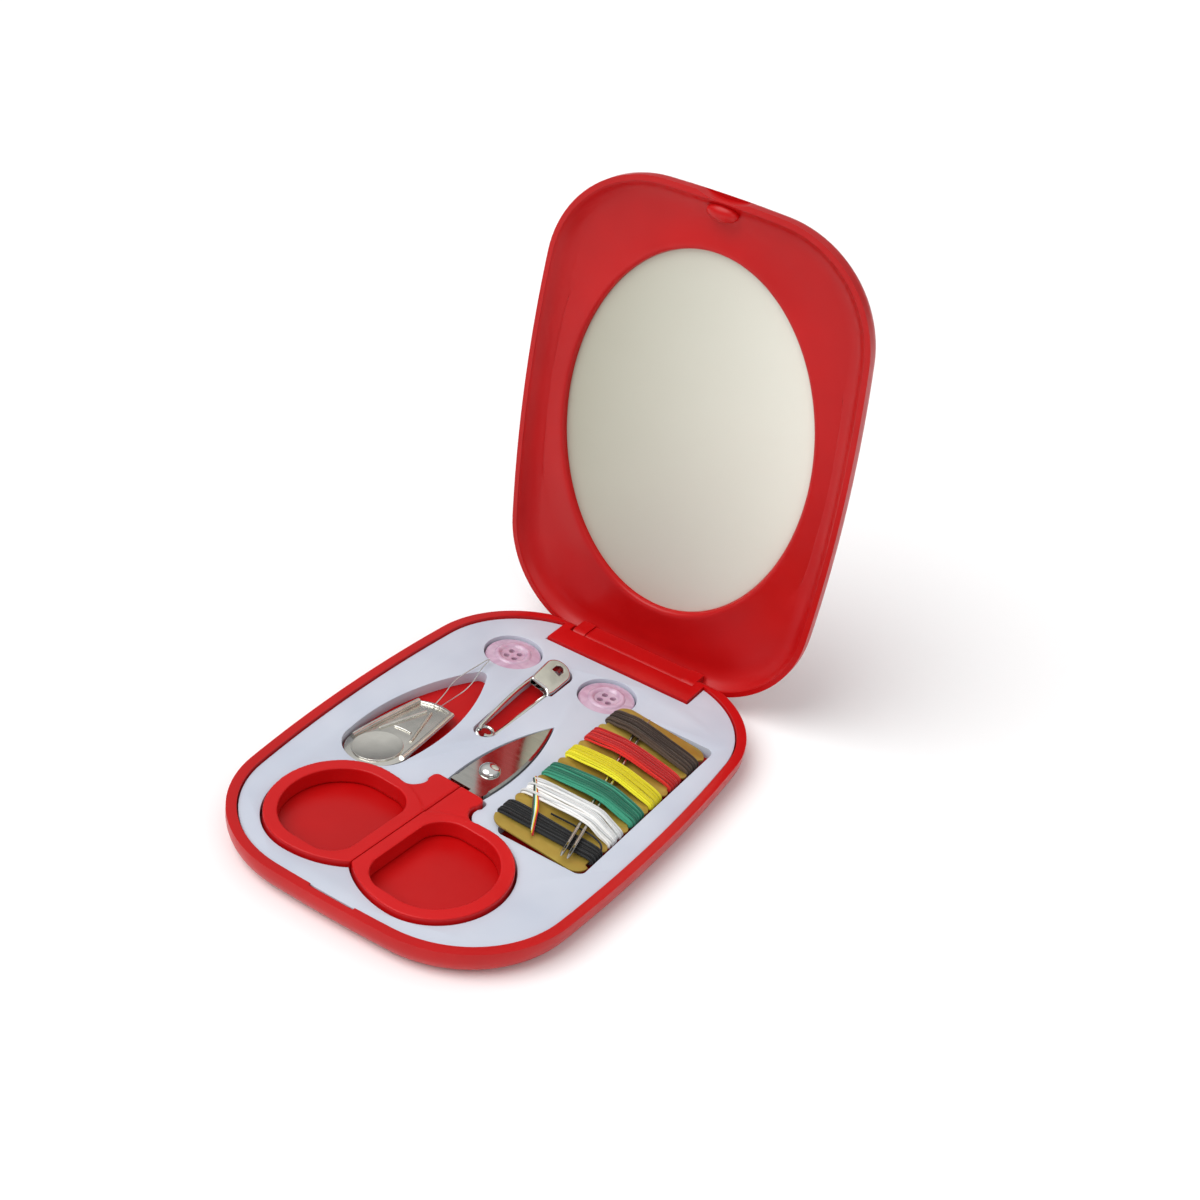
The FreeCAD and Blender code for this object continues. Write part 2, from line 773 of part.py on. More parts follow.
def make_safety_pin_cap():
    """A folded cap with a rounded top, open below and at the side of the pointed arm."""
    half = cap_width / 2
    round_start = cap_start + cap_length - half
    low = -cap_thickness / 2
    outline = Part.Wire([
        line(Vector(-half, cap_start, low), Vector(half, cap_start, low)),
        line(Vector(half, cap_start, low), Vector(half, round_start, low)),
        arc(Vector(half, round_start, low), Vector(0, cap_start + cap_length, low), Vector(-half, round_start, low)),
        line(Vector(-half, round_start, low), Vector(-half, cap_start, low)),
    ])
    cap = prism([outline], cap_thickness)
    rims = edges_at(cap, low) + edges_at(cap, -low)
    cap = cap.makeFillet(cap_fillet, rims)
    clearance = cap_slot_height / 2
    slot = block(-half - overrun, pin_arm_spread + clearance, cap_start - overrun, cap_slot_end,
                 -clearance, clearance)
    eye = Part.makeCylinder(cap_eye_diameter / 2, cap_thickness, Vector(0, cap_eye_y, low))
    return cap.cut(slot).cut(eye)


def make_button(x):
    """A four-hole button with a raised rim."""
    radius = button_diameter / 2
    place = upward * seat_z
    button = Part.makeCylinder(radius, button_thickness, place)
    button = button.makeFillet(button_edge_fillet, [edge for edge in button.Edges if edge.Closed])
    dish = Part.makeCylinder(button_dish_diameter / 2, button_dish_depth + overrun,
                             place + upward * (button_thickness - button_dish_depth))
    button = button.cut(dish)
    for step_x in (-1, 1):
        for step_y in (-1, 1):
            offset = Vector(step_x * button_hole_spacing / 2, step_y * button_hole_spacing / 2, 0)
            button = button.cut(Part.makeCylinder(button_hole_diameter / 2, button_thickness, place + offset))
    return settle(button, x, button_y, 0, floor_z)


# Thread card and what is on it, in the frame of the flat card
card_waist = card_width / 2 - card_notch
band_half = (winding_loops * thread_pitch) / 2
loop_half_height = card_thickness / 2 + thread_lift + thread_diameter / 2
loop_half_width = card_waist + thread_lift


def place_card(shape):
    shape.rotate(Vector(0, 0, 0), along, card_roll)
    shape.translate(upward * card_z)
    return settle(shape, card_x, card_y, 0, tray_top_z)


def winding_y(index):
    """The middle of a winding along the card, the first at the back."""
    return ((len(winding_names) - 1) / 2 - index) * winding_pitch


def make_thread_card():
    """A rounded card whose long edges step in where the windings sit."""
    level = -card_thickness / 2
    half_length = card_length / 2
    half_width = card_width / 2
    corner_mid = card_corner * (1 - math.sqrt(2) / 2)
    right = [line(Vector(card_corner - half_width, half_length, level),
                  Vector(half_width - card_corner, half_length, level))]
    right.append(arc(Vector(half_width - card_corner, half_length, level),
                     Vector(half_width - corner_mid, half_length - corner_mid, level),
                     Vector(half_width, half_length - card_corner, level)))
    last = Vector(half_width, half_length - card_corner, level)
    for index in range(len(winding_names)):
        top = Vector(card_waist, winding_y(index) + band_half, level)
        bottom = Vector(card_waist, winding_y(index) - band_half, level)
        if index == 0:
            right.append(line(last, top))
        else:
            middle = Vector(half_width, (last.y + top.y) / 2, level)
            right.append(arc(last, middle, top))
        right.append(line(top, bottom))
        last = bottom
    low_corner = Vector(half_width, card_corner - half_length, level)
    right.append(line(last, low_corner))
    right.append(arc(low_corner, Vector(half_width - corner_mid, corner_mid - half_length, level),
                     Vector(half_width - card_corner, -half_length, level)))
    half = Part.Wire(right)
    other = half.copy()
    other.rotate(Vector(0, 0, level), upward, 180)
    return prism([Part.Wire(half.Edges + other.Edges)], card_thickness)


def needle_height(y):
    """Height of the needle axis above the face of the card at a place along it."""
    share = (needle_back_y - y) / (needle_back_y - needle_front_y)
    return needle_back_rise + share * (needle_front_rise - needle_back_rise)


def needle_x(y):
    share = (needle_back_y - y) / (needle_back_y - needle_front_y)
    return needle_back_x + share * (needle_front_x - needle_back_x)


def winding_crest(index):
    """Height of the thread axis where a winding crosses the needles, black passing under them."""
    if winding_names[index] == "black":
        return loop_half_height
    over = needle_height(winding_y(index) - band_half) + needle_diameter / 2 + thread_clearance
    return card_thickness / 2 + over + thread_diameter / 2


def make_winding(index):
    """One thread wound round the card: level runs below, runs over the needles above."""
    slant = winding_slants[index]
    crest = winding_crest(index)
    edges = []
    first_y = winding_y(index) + (winding_loops - 1) / 2 * thread_pitch
    for loop in range(winding_loops):
        left_y = first_y - loop * thread_pitch + slant / 2
        right_y = left_y - slant
        left_low = Vector(-loop_half_width, left_y, -loop_half_height)
        left_high = Vector(-loop_half_width, left_y, loop_half_height)
        right_high = Vector(loop_half_width, right_y, loop_half_height)
        right_low = Vector(loop_half_width, right_y, -loop_half_height)
        if loop == 0:
            edges.append(line(left_low + across * thread_end_run, left_low))
        edges += biarc(left_low, across * -1, left_high, across)
        crest_x = needle_x(winding_y(index))
        share = (crest_x + loop_half_width) / (2 * loop_half_width)
        crest_point = Vector(crest_x, left_y - slant * share, crest)
        level_heading = Vector(2 * loop_half_width, -slant, 0).normalize()
        edges += biarc(left_high, across, crest_point, level_heading)
        edges += biarc(crest_point, level_heading, right_high, across)
        edges += biarc(right_high, across, right_low, across * -1)
        if loop < winding_loops - 1:
            next_low = Vector(-loop_half_width, left_y - thread_pitch, -loop_half_height)
            edges += biarc(right_low, across * -1, next_low, across * -1)
        else:
            edges.append(line(right_low, right_low - across * thread_end_run))
    path = Part.Wire(edges)
    print(winding_names[index], "winding least gap", round(least_gap(path, thread_diameter), 3))
    return tube(path, thread_diameter)


def make_thread_tails():
    """Three loose thread ends that lie over the black winding."""
    over = loop_half_height + thread_diameter / 2 + tail_diameter / 2 + thread_clearance
    tails = []
    for place in (-1, 0, 1):
        shift = Vector(place * tail_spacing, 0, 0)
        start = Vector(tail_start_x, tail_start_y, over) + shift
        end = Vector(tail_end_x, tail_end_y, over) + shift
        middle = (start + end) / 2 + upward * tail_rise
        path = Part.Wire([arc(start, middle, end)])
        tails.append(tube(path, tail_diameter))
    return Part.makeCompound(tails)


def make_needle(place):
    """A straight needle with a long eye, its point at the back of the card."""
    radius = needle_diameter / 2
    face = card_thickness / 2
    front = Vector(needle_front_x, needle_front_y, face + needle_front_rise)
    back = Vector(needle_back_x, needle_back_y, face + needle_back_rise)
    axis = back - front
    length = axis.Length
    shank = Part.makeCylinder(radius, length - needle_point_length - radius, Vector(0, 0, radius))
    head = Part.makeSphere(radius, Vector(0, 0, radius))
    point = Part.makeCone(radius, needle_point_radius, needle_point_length,
                          Vector(0, 0, length - needle_point_length))
    needle = shank.fuse(head).fuse(point).removeSplitter()
    eye = block(-needle_diameter, needle_diameter, -needle_eye_width / 2, needle_eye_width / 2,
                needle_eye_from_end, needle_eye_from_end + needle_eye_length)
    needle = needle.cut(eye)
    needle.rotate(Vector(0, 0, 0), upward, 90)
    turn = FreeCAD.Rotation(upward, axis)
    needle.Placement = FreeCAD.Placement(front, turn).multiply(needle.Placement)
    sideways = axis.cross(upward).normalize()
    needle.translate(sideways * (place * needle_spacing / 2))
    return needle


def make_tray_insert():
    """The sheet that fills the base, with a cut-out round every tool."""
    tray = prism([case_outline(rim_width + tray_gap, floor_z)], tray_thickness)
    tray = tray.cut(block(-hinge_block_half - tray_gap, hinge_block_half + tray_gap,
                          hinge_block_front_y - tray_gap, case_length, floor_z, rim_z))
    bottom = floor_z - overrun
    through = tray_thickness + overrun * 2
    cuts = []
    for x in (button_left_x, button_right_x):
        button_hole = Part.makeCylinder(button_diameter / 2 + tray_gap, through, upward * bottom)
        cuts.append(settle(button_hole, x, button_y, 0, floor_z))
    for sign in (-1, 1):
        corner = bow_corner_radius + recess_gap
        cuts.append(place_scissors(bow_solid(sign, -recess_gap, corner, bottom, through)))
        cuts.append(place_scissors(prism([neck_wire(sign, recess_gap, bottom)], through)))
    cuts.append(place_scissors(prism([blade_wire(recess_gap, bottom)], through)))
    half = blade_half_width + recess_gap
    cuts.append(place_scissors(block(-half, half, -neck_top, -blade_heel, bottom, bottom + through)))
    cuts.append(place_threader(prism([threader_recess_wire(bottom)], through)))
    cuts.append(pin_recess(bottom, through))
    cuts.append(card_recess(bottom, through))
    for cut in cuts:
        tray = tray.cut(cut)
    return tray.removeSplitter()


def pin_recess(bottom, through):
    """A slot that follows the safety pin: narrow along the arms, wide and round at the cap."""
    reach = pin_coil_radius + pin_wire_diameter / 2 + recess_gap
    half = cap_width / 2 + recess_gap
    shoulder = cap_start - recess_gap
    round_start = cap_start + cap_length - cap_width / 2
    outline = [
        line(Vector(reach, 0, bottom), Vector(pin_recess_right, shoulder, bottom)),
        line(Vector(pin_recess_right, shoulder, bottom), Vector(half, shoulder, bottom)),
        line(Vector(half, shoulder, bottom), Vector(half, round_start, bottom)),
        arc(Vector(half, round_start, bottom), Vector(0, round_start + half, bottom),
            Vector(-half, round_start, bottom)),
        line(Vector(-half, round_start, bottom), Vector(-half, shoulder, bottom)),
        line(Vector(-half, shoulder, bottom), Vector(-reach, 0, bottom)),
        arc(Vector(-reach, 0, bottom), Vector(0, -reach, bottom), Vector(reach, 0, bottom)),
    ]
    return settle(prism([Part.Wire(outline)], through), pin_x, pin_y, pin_middle, floor_z)


def card_recess(bottom, through):
    """A rounded opening under the card, whose left edge rests on the tray."""
    right = card_width / 2 + card_recess_gap
    back = card_length / 2 + card_recess_gap
    opening = block(-card_recess_left, right, -back, back, bottom, bottom + through)
    uprights = [edge for edge in opening.Edges if edge.BoundBox.ZLength > through / 2]
    return settle(opening.makeFillet(card_recess_corner, uprights), card_x, card_y, 0, floor_z)


os.makedirs("parts", exist_ok=True)

save(make_base_shell(), "base_shell")
save(make_tray_insert(), "tray_insert")
for side, sign in (("left", -1), ("right", 1)):
    save(make_hinge_pin(sign), "hinge_pin_" + side)
save(open_lid(make_lid_shell()), "lid_shell")
save(open_lid(make_mirror()), "mirror")
save(open_lid(make_mirror_tape()), "mirror_tape")
for side, sign, level in (("left", -1, lower_blade_z), ("right", 1, upper_blade_z)):
    save(place_scissors(make_scissor_blade(sign, level)), "scissor_blade_" + side)
    save(place_scissors(make_scissor_handle(sign, level)), "scissor_handle_" + side)
save(place_scissors(make_scissor_rivet()), "scissor_rivet")
save(lay_threader(make_threader_plate()), "threader_plate")
save(lay_threader(make_threader_wire()), "threader_wire")
save(place_pin(make_safety_pin_back()), "safety_pin_back")
save(place_pin(make_safety_pin_arm()), "safety_pin_arm")
save(place_pin(make_safety_pin_cap()), "safety_pin_cap")
save(make_button(button_left_x), "button_left")
save(make_button(button_right_x), "button_right")
save(place_card(make_thread_card()), "thread_card")
for index, colour in enumerate(winding_names):
    save(place_card(make_winding(index)), "thread_" + colour)
save(place_card(make_thread_tails()), "thread_tails")
for side, place in (("left", -1), ("right", 1)):
    save(place_card(make_needle(place)), "needle_" + side)
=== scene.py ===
# %% [markdown]
# # A travel sewing kit
# The CAD frame fixes where each piece is and how it moves. This lesson gives the pieces their
# finished shapes and surfaces, one step at a time, and looks at them as the photograph does.

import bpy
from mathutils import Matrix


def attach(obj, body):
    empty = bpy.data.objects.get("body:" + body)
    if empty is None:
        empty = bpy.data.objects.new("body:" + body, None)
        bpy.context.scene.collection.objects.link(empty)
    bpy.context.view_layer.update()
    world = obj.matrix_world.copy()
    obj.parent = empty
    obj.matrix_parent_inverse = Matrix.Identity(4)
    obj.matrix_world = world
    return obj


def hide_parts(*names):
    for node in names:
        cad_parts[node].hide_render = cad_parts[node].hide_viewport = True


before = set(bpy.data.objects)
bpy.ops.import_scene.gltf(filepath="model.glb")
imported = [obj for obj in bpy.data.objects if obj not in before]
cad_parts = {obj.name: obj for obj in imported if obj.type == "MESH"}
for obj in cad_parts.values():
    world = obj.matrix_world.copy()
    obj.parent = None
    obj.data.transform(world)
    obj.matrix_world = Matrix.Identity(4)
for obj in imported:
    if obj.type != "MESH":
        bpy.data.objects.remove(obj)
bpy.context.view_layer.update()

# %% [markdown]
# ## Camera
# The photograph was taken with the camera turned a little about its own axis. A fit of the two
# equal outlines of the case gave the angles, the distance and the focal length in pixels. Building
# the camera's axes from those angles is safer than turning it by hand, so its matrix is made
# from three vectors.

# %% Camera
import math
import random

import bmesh
import bpy
from mathutils import Matrix, Vector

mm = 0.001
photo_pixels = 1200
focal_pixels = 1919.4
sensor_width = 36.0
azimuth = math.radians(27.58)
elevation = math.radians(31.99)
camera_roll = math.radians(8.84)
camera_distance = 318.8
aim_point = Vector((0, 15, 25.2))
aim_right = 6.07
aim_up = 4.11

back = Vector((math.sin(azimuth) * math.cos(elevation),
               -math.cos(azimuth) * math.cos(elevation),
               math.sin(elevation)))
level_right = Vector((math.cos(azimuth), math.sin(azimuth), 0))
level_up = back.cross(level_right)
right = level_right * math.cos(camera_roll) + level_up * math.sin(camera_roll)
up = level_up * math.cos(camera_roll) - level_right * math.sin(camera_roll)
eye = aim_point + back * camera_distance + right * aim_right + up * aim_up

bpy.ops.object.select_all(action="DESELECT")
bpy.ops.object.camera_add()
camera = bpy.context.object
turn = Matrix((right, up, back)).transposed().to_4x4()
camera.matrix_world = Matrix.Translation(eye * mm) @ turn
camera.data.sensor_width = sensor_width
camera.data.lens = focal_pixels / photo_pixels * sensor_width
camera.data.clip_start = 10 * mm
bpy.context.scene.camera = camera
print("camera at", [round(v, 1) for v in eye], "lens", round(camera.data.lens, 2))

# %% [markdown]
# ## Light and floor
# The photograph is a product picture on white: large soft lights and no hard shadow. A pale floor,
# a world that is white above and grey at the horizon, a wide sun and a big area light give that.
# The grey lets polished metal show dark edges. The sun is a disc of 50 degrees, so that its light is
# soft and reaches the far floor as brightly as the near one.

# %% Light and floor
def linear(hex_colour):
    """An sRGB hex colour as linear values for a shader."""
    channels = [int(hex_colour[i:i + 2], 16) / 255 for i in (1, 3, 5)]
    curve = [c / 12.92 if c <= 0.04045 else ((c + 0.055) / 1.055) ** 2.4 for c in channels]
    return (*curve, 1.0)


def add(tree, kind, settings=None, links=None):
    """Add a node, set its properties and sockets by name, and link its inputs."""
    node = tree.nodes.new(kind)
    for name, value in (settings or {}).items():
        if name[0].isupper():
            node.inputs[name].default_value = value
        else:
            setattr(node, name, value)
    for name, source in (links or {}).items():
        tree.links.new(source, node.inputs[name])
    return node


def soft_light(name, place, size, power):
    bpy.ops.object.light_add(type="AREA", location=Vector(place) * mm)
    light = bpy.context.object
    light.name = name
    light.data.size = size * mm
    light.data.energy = power
    light.rotation_euler = (aim_point * mm - light.location).to_track_quat("-Z", "Y").to_euler()
    return light


floor_size = 40
sky_strength = 0.66
sun_lean = (math.radians(28), math.radians(-20), 0)
bpy.ops.object.light_add(type="SUN", rotation=sun_lean)
sun = bpy.context.object
sun.name = "wide_sun"
sun.data.angle = math.radians(50)
sun.data.energy = 1.9
scene = bpy.context.scene
scene.view_settings.view_transform = "Standard"
world = bpy.data.worlds.new("white studio")
world.use_nodes = True
sky = world.node_tree
ray = add(sky, "ShaderNodeTexCoord").outputs["Generated"]
rise = add(sky, "ShaderNodeSeparateXYZ", None, {"Vector": ray}).outputs["Z"]
shade = add(sky, "ShaderNodeValToRGB", None, {"Fac": rise})
shade.color_ramp.elements[0].color = linear("#8A8A8C")
shade.color_ramp.elements[1].color = linear("#FFFFFF")
shade.color_ramp.elements[1].position = 0.75
sky.links.new(shade.outputs["Color"], sky.nodes["Background"].inputs["Color"])
sky.nodes["Background"].inputs["Strength"].default_value = sky_strength
scene.world = world
soft_light("side_light", (330, -260, 260), 260, 0.22)

bpy.ops.object.select_all(action="DESELECT")
bpy.ops.mesh.primitive_plane_add(size=floor_size)
floor = bpy.context.object
floor.name = "floor"
floor_paint = bpy.data.materials.new("pale studio paper")
floor_paint.use_nodes = True
paper = floor_paint.node_tree.nodes["Principled BSDF"]
paper.inputs["Base Color"].default_value = linear("#FFFFFF")
paper.inputs["Roughness"].default_value = 0.9
floor.data.materials.append(floor_paint)
print("lights and floor ready")

# %% [markdown]
# ## Moulded plastics
# The case and the scissor handles are high-impact polystyrene, injection moulded in a satin mould:
# a saturated red with a soft gloss that breaks up a little where the mould is worn. The tray is
# thin rigid PVC, vacuum formed, so it is whiter, duller and slightly wavy. Fine noise drives the
# roughness and the bump; its size is stated in millimetres and turned into a texture scale.

# %% Moulded plastics
grain_height = 0.02


def per_mm(size):
    """Texture scale that gives features of about this size in millimetres."""
    return 1.0 / (size * mm)


def new_finish(name):
    """A material with its tree, its main shader and object coordinates."""
    finish = bpy.data.materials.new(name)
    finish.use_nodes = True
    tree = finish.node_tree
    shader = tree.nodes["Principled BSDF"]
    place = add(tree, "ShaderNodeTexCoord").outputs["Object"]
    return finish, tree, shader, place


def set_sockets(shader, values):
    for name, value in values.items():
        shader.inputs[name].default_value = value


def vary(tree, source, low, high):
    """Spread a noise value over a range of roughness."""
    return add(tree, "ShaderNodeMapRange", {"To Min": low, "To Max": high, "From Min": 0.3, "From Max": 0.7},
               {"Value": source}).outputs["Result"]


def two_tones(tree, source, dark, light):
    """Mix two colours of one material by a noise value."""
    ramp = add(tree, "ShaderNodeValToRGB", None, {"Fac": source})
    ramp.color_ramp.elements[0].color = linear(dark)
    ramp.color_ramp.elements[1].color = linear(light)
    ramp.color_ramp.elements[0].position = 0.35
    ramp.color_ramp.elements[1].position = 0.65
    return ramp.outputs["Color"]


def noise(tree, place, size, detail, distortion=0.0):
    """A noise value with features of about this size in millimetres."""
    settings = {"Scale": per_mm(size), "Detail": detail, "Distortion": distortion}
    return add(tree, "ShaderNodeTexNoise", settings, {"Vector": place}).outputs["Fac"]


def raise_grain(tree, shader, source, strength, height):
    """Let a value raise the surface by up to a height in millimetres."""
    bump = add(tree, "ShaderNodeBump", {"Strength": strength, "Distance": height * mm}, {"Height": source})
    tree.links.new(bump.outputs["Normal"], shader.inputs["Normal"])


def paint(tree, shader, colour, rough):
    """Link a colour and a roughness to the shader."""
    tree.links.new(colour, shader.inputs["Base Color"])
    tree.links.new(rough, shader.inputs["Roughness"])


def moulded(name, dark, light, rough, grain, depth, ior):
    """A moulded plastic with slow colour drift, patchy gloss and a fine mould grain."""
    finish, tree, shader, place = new_finish(name)
    drift = noise(tree, place, 14, 2.0)
    patch = noise(tree, place, 3, 4.0)
    paint(tree, shader, two_tones(tree, drift, dark, light), vary(tree, patch, *rough))
    raise_grain(tree, shader, noise(tree, place, grain, 2.0), depth, grain_height)
    set_sockets(shader, {"IOR": ior, "Specular IOR Level": 0.3})
    return finish


red_polystyrene = moulded("red moulded polystyrene", "#B60709", "#BE0A0C",
                          rough=(0.30, 0.38), grain=0.35, depth=0.03, ior=1.5)
handle_plastic = moulded("red moulded handle plastic", "#C2090C", "#CC0F12",
                         rough=(0.30, 0.38), grain=0.4, depth=0.03, ior=1.5)
white_sheet = moulded("white vacuum-formed sheet", "#BFC6D4", "#C8CEDA",
                      rough=(0.40, 0.55), grain=0.5, depth=0.05, ior=1.53)
print("moulded finishes ready")

# %% [markdown]
# ## Metals and mirror
# Nickel plate is bright and smooth, the blades are steel polished until hardly a line of the
# grinding is left, and pressed tinplate is a little duller. The mirror is silvered glass taken to
# wear a matt protective film, which gives a warm grey and no sharp picture; its colour carries a
# painted reflection, darker on the left and paler towards the right. Metals keep the default IOR;
# their look comes from colour and roughness.

# %% Metals and mirror
def metal(name, dark, light, rough, grain, depth, stretch=(1, 1, 1)):
    """A metal whose roughness and bump follow noise, drawn out along one axis by a stretch."""
    finish, tree, shader, place = new_finish(name)
    lie = add(tree, "ShaderNodeMapping", {"Scale": stretch}, {"Vector": place})
    fine = noise(tree, lie.outputs["Vector"], grain, 3.0)
    paint(tree, shader, two_tones(tree, fine, dark, light), vary(tree, fine, *rough))
    raise_grain(tree, shader, fine, depth, grain_height)
    set_sockets(shader, {"Metallic": 1.0})
    return finish


nickel_plate = metal("bright nickel plate", "#D6D6D4", "#E2E2E0", rough=(0.06, 0.12), grain=3.0, depth=0.01)
ground_steel = metal("ground blade steel", "#BDBDB6", "#C8C8C2",
                     rough=(0.05, 0.10), grain=0.6, depth=0.01, stretch=(0.15, 1.0, 1.0))
needle_steel = metal("drawn needle steel", "#BBB8B0", "#C9C6BE",
                     rough=(0.10, 0.18), grain=0.8, depth=0.01, stretch=(1.0, 0.2, 1.0))
tinplate = metal("pressed tinplate", "#DAD8D0", "#E6E4DC", rough=(0.16, 0.26), grain=4.0, depth=0.02)


def filmed_glass_with_painted_reflection(half_width):
    """Silvered glass under a milky matt coating; a painted reflection makes it paler towards the right."""
    finish, tree, shader, place = new_finish("silvered glass under matt film")
    across = add(tree, "ShaderNodeSeparateXYZ", None, {"Vector": place}).outputs["X"]
    share = add(tree, "ShaderNodeMapRange", {"From Min": -half_width * mm, "From Max": half_width * mm,
                                             "To Min": 0.35, "To Max": 0.65}, {"Value": across})
    # Painted reflection: the colour runs from darker on the left to paler on the right across the glass,
    # standing in for the brighter surroundings it would mirror.
    film_tone_and_painted_reflection = two_tones(tree, share.outputs["Result"], "#B2B1A0", "#EFEEE2")
    paint(tree, shader, film_tone_and_painted_reflection, vary(tree, noise(tree, place, 9, 3.0), 0.42, 0.52))
    set_sockets(shader, {"Metallic": 0.2, "Specular IOR Level": 0.3})
    return finish


print("metal finishes ready")

# %% [markdown]
# ## Buttons, card and thread
# The buttons are pink polyester resin, cast with a pearly swirl and a soft depth to it. The card
# is board laminated with gold foil. Thread is spun cotton: two plies twist round each other, so
# slanted ridges run along it. A strand's UV map counts those ridges, so one wave over it draws them:
# it raises the ridges and colours them, with painted shade in the grooves and painted light on the
# ridges.

# %% Buttons, card and thread
def cast_resin():
    finish, tree, shader, place = new_finish("pink cast resin")
    swirl = noise(tree, place, 4, 3.0, 2.2)
    paint(tree, shader, two_tones(tree, swirl, "#BE9AB2", "#CFB2C6"), vary(tree, swirl, 0.12, 0.24))
    set_sockets(shader, {"Subsurface Weight": 0.3, "Subsurface Radius": (1.0, 0.6, 0.8),
                         "Subsurface Scale": 1.5 * mm, "IOR": 1.54,
                         "Coat Weight": 0.4, "Coat Roughness": 0.06})
    return finish


def foil_board():
    finish, tree, shader, place = new_finish("gold foil board")
    fibre = noise(tree, place, 0.9, 4.0)
    blotch = noise(tree, place, 7, 2.0)
    paint(tree, shader, two_tones(tree, blotch, "#A68A38", "#BFA34A"), vary(tree, fibre, 0.28, 0.45))
    raise_grain(tree, shader, fibre, 0.25, 0.03)
    set_sockets(shader, {"Metallic": 0.45})
    return finish


def spun_cotton(name, dark, light):
    """Twisted thread: slanted ridges that lift the strand, with painted shade in the grooves and painted
    light on the ridges.
    """
    finish, tree, shader, place = new_finish(name)
    strand_map = add(tree, "ShaderNodeTexCoord").outputs["UV"]
    ply = add(tree, "ShaderNodeTexWave",
              {"wave_type": "BANDS", "bands_direction": "X", "Scale": math.pi / 10}, {"Vector": strand_map})
    both = add(tree, "ShaderNodeMath", {"operation": "ADD"})
    tree.links.new(ply.outputs["Fac"], both.inputs[0])
    tree.links.new(noise(tree, place, 0.25, 3.0), both.inputs[1])
    # The ply wave picks the colour: painted shade in the grooves between the plies, painted highlight on the
    # ridges.
    tree.links.new(two_tones(tree, ply.outputs["Fac"], dark, light), shader.inputs["Base Color"])
    raise_grain(tree, shader, both.outputs["Value"], 1.0, 0.09)
    set_sockets(shader, {"Roughness": 0.8, "Sheen Weight": 0.25, "Sheen Roughness": 0.4})
    return finish


pink_resin = cast_resin()
gold_board = foil_board()
# Each pair is one thread's colour as painted shade in the grooves and painted light on the ridges.
thread_colours_with_ply_shade = {"brown": ("#33241B", "#524031"), "red": ("#B01010", "#DE2318"),
                "yellow": ("#D2C40A", "#F4EC2A"), "green": ("#1A6A52", "#3A9C7C"),
                "white": ("#D2D4D4", "#F6F6F4"), "black": ("#0A0B0C", "#1E2022")}
thread_finishes = {}
for colour, (dark, light) in thread_colours_with_ply_shade.items():
    thread_finishes[colour] = spun_cotton(colour + " spun cotton", dark, light)
print("thread colours", len(thread_finishes))

# %% [markdown]
# ## Working by hand in code
# Every piece below is modelled with the same few moves: start from a primitive, select by place,
# extrude, inset or bevel, join or cut shapes with a Boolean, soften the edges and apply. These
# short helpers hold the moves, so each later cell reads like a list of steps.

# %% Working by hand in code
tiny = 0.01


def alone(obj=None):
    """Leave edit mode, deselect everything and make one object the active one."""
    if bpy.context.object and bpy.context.object.mode != "OBJECT":
        bpy.ops.object.mode_set(mode="OBJECT")
    bpy.ops.object.select_all(action="DESELECT")
    if obj:
        obj.select_set(True)
        bpy.context.view_layer.objects.active = obj
    return obj


def edit(obj):
    alone(obj)
    bpy.ops.object.mode_set(mode="EDIT")


def pick(kind, test):
    """In edit mode, select the parts whose corner points, in millimetres, pass a test."""
    bpy.ops.mesh.select_mode(type=kind)
    bpy.ops.mesh.select_all(action="DESELECT")
    data = bpy.context.edit_object.data
    cage = bmesh.from_edit_mesh(data)
    for item in {"EDGE": cage.edges, "FACE": cage.faces}[kind]:
        if test([vertex.co / mm for vertex in item.verts]):
            item.select_set(True)
    cage.select_flush_mode()
    bmesh.update_edit_mesh(data)


def pick_level(kind, height):
    """Select what lies flat at one height."""
    pick(kind, lambda points: all(abs(point.z - height) < tiny for point in points))


def pull(height):
    """In edit mode, extrude what is selected upwards."""
    bpy.ops.mesh.extrude_region_move(TRANSFORM_OT_translate={"value": (0, 0, height * mm)})


def settle(obj):
    """Put the place, the turn and the scale of the selected object into its mesh."""
    bpy.ops.object.transform_apply(location=True, rotation=True, scale=True)
    return obj


def moved_by(x, y, z):
    """A move in millimetres as a matrix."""
    return Matrix.Translation(Vector((x, y, z)) * mm)


def turned_by(angle, axis):
    """A turn in degrees about an axis as a matrix."""
    return Matrix.Rotation(math.radians(angle), 4, axis)


def slab(name, outline, low, high):
    """A circle whose points are slid onto an outline and then extruded, in millimetres."""
    alone()
    bpy.ops.mesh.primitive_circle_add(vertices=len(outline), radius=mm, fill_type="NGON")
    obj = bpy.context.object
    obj.name = name
    for vertex, (x, y) in zip(obj.data.vertices, outline):
        vertex.co = Vector((x, y, low)) * mm
    edit(obj)
    bpy.ops.mesh.select_all(action="SELECT")
    pull(high - low)
    bpy.ops.mesh.select_all(action="SELECT")
    bpy.ops.mesh.normals_make_consistent(inside=False)
    return alone(obj)


def brick(low, high):
    """A cube stretched between two corners."""
    alone()
    middle = (Vector(low) + Vector(high)) / 2
    bpy.ops.mesh.primitive_cube_add(size=1, location=middle * mm)
    obj = bpy.context.object
    obj.scale = (Vector(high) - Vector(low)) * mm
    return settle(obj)


def rod(radius, start, end, sides=48):
    """A cylinder between two points."""
    alone()
    run = Vector(end) - Vector(start)
    bpy.ops.mesh.primitive_cylinder_add(vertices=sides, radius=radius * mm, depth=run.length * mm,
                                        location=(Vector(start) + Vector(end)) / 2 * mm)
    obj = bpy.context.object
    obj.rotation_euler = run.to_track_quat("Z", "Y").to_euler()
    return settle(obj)


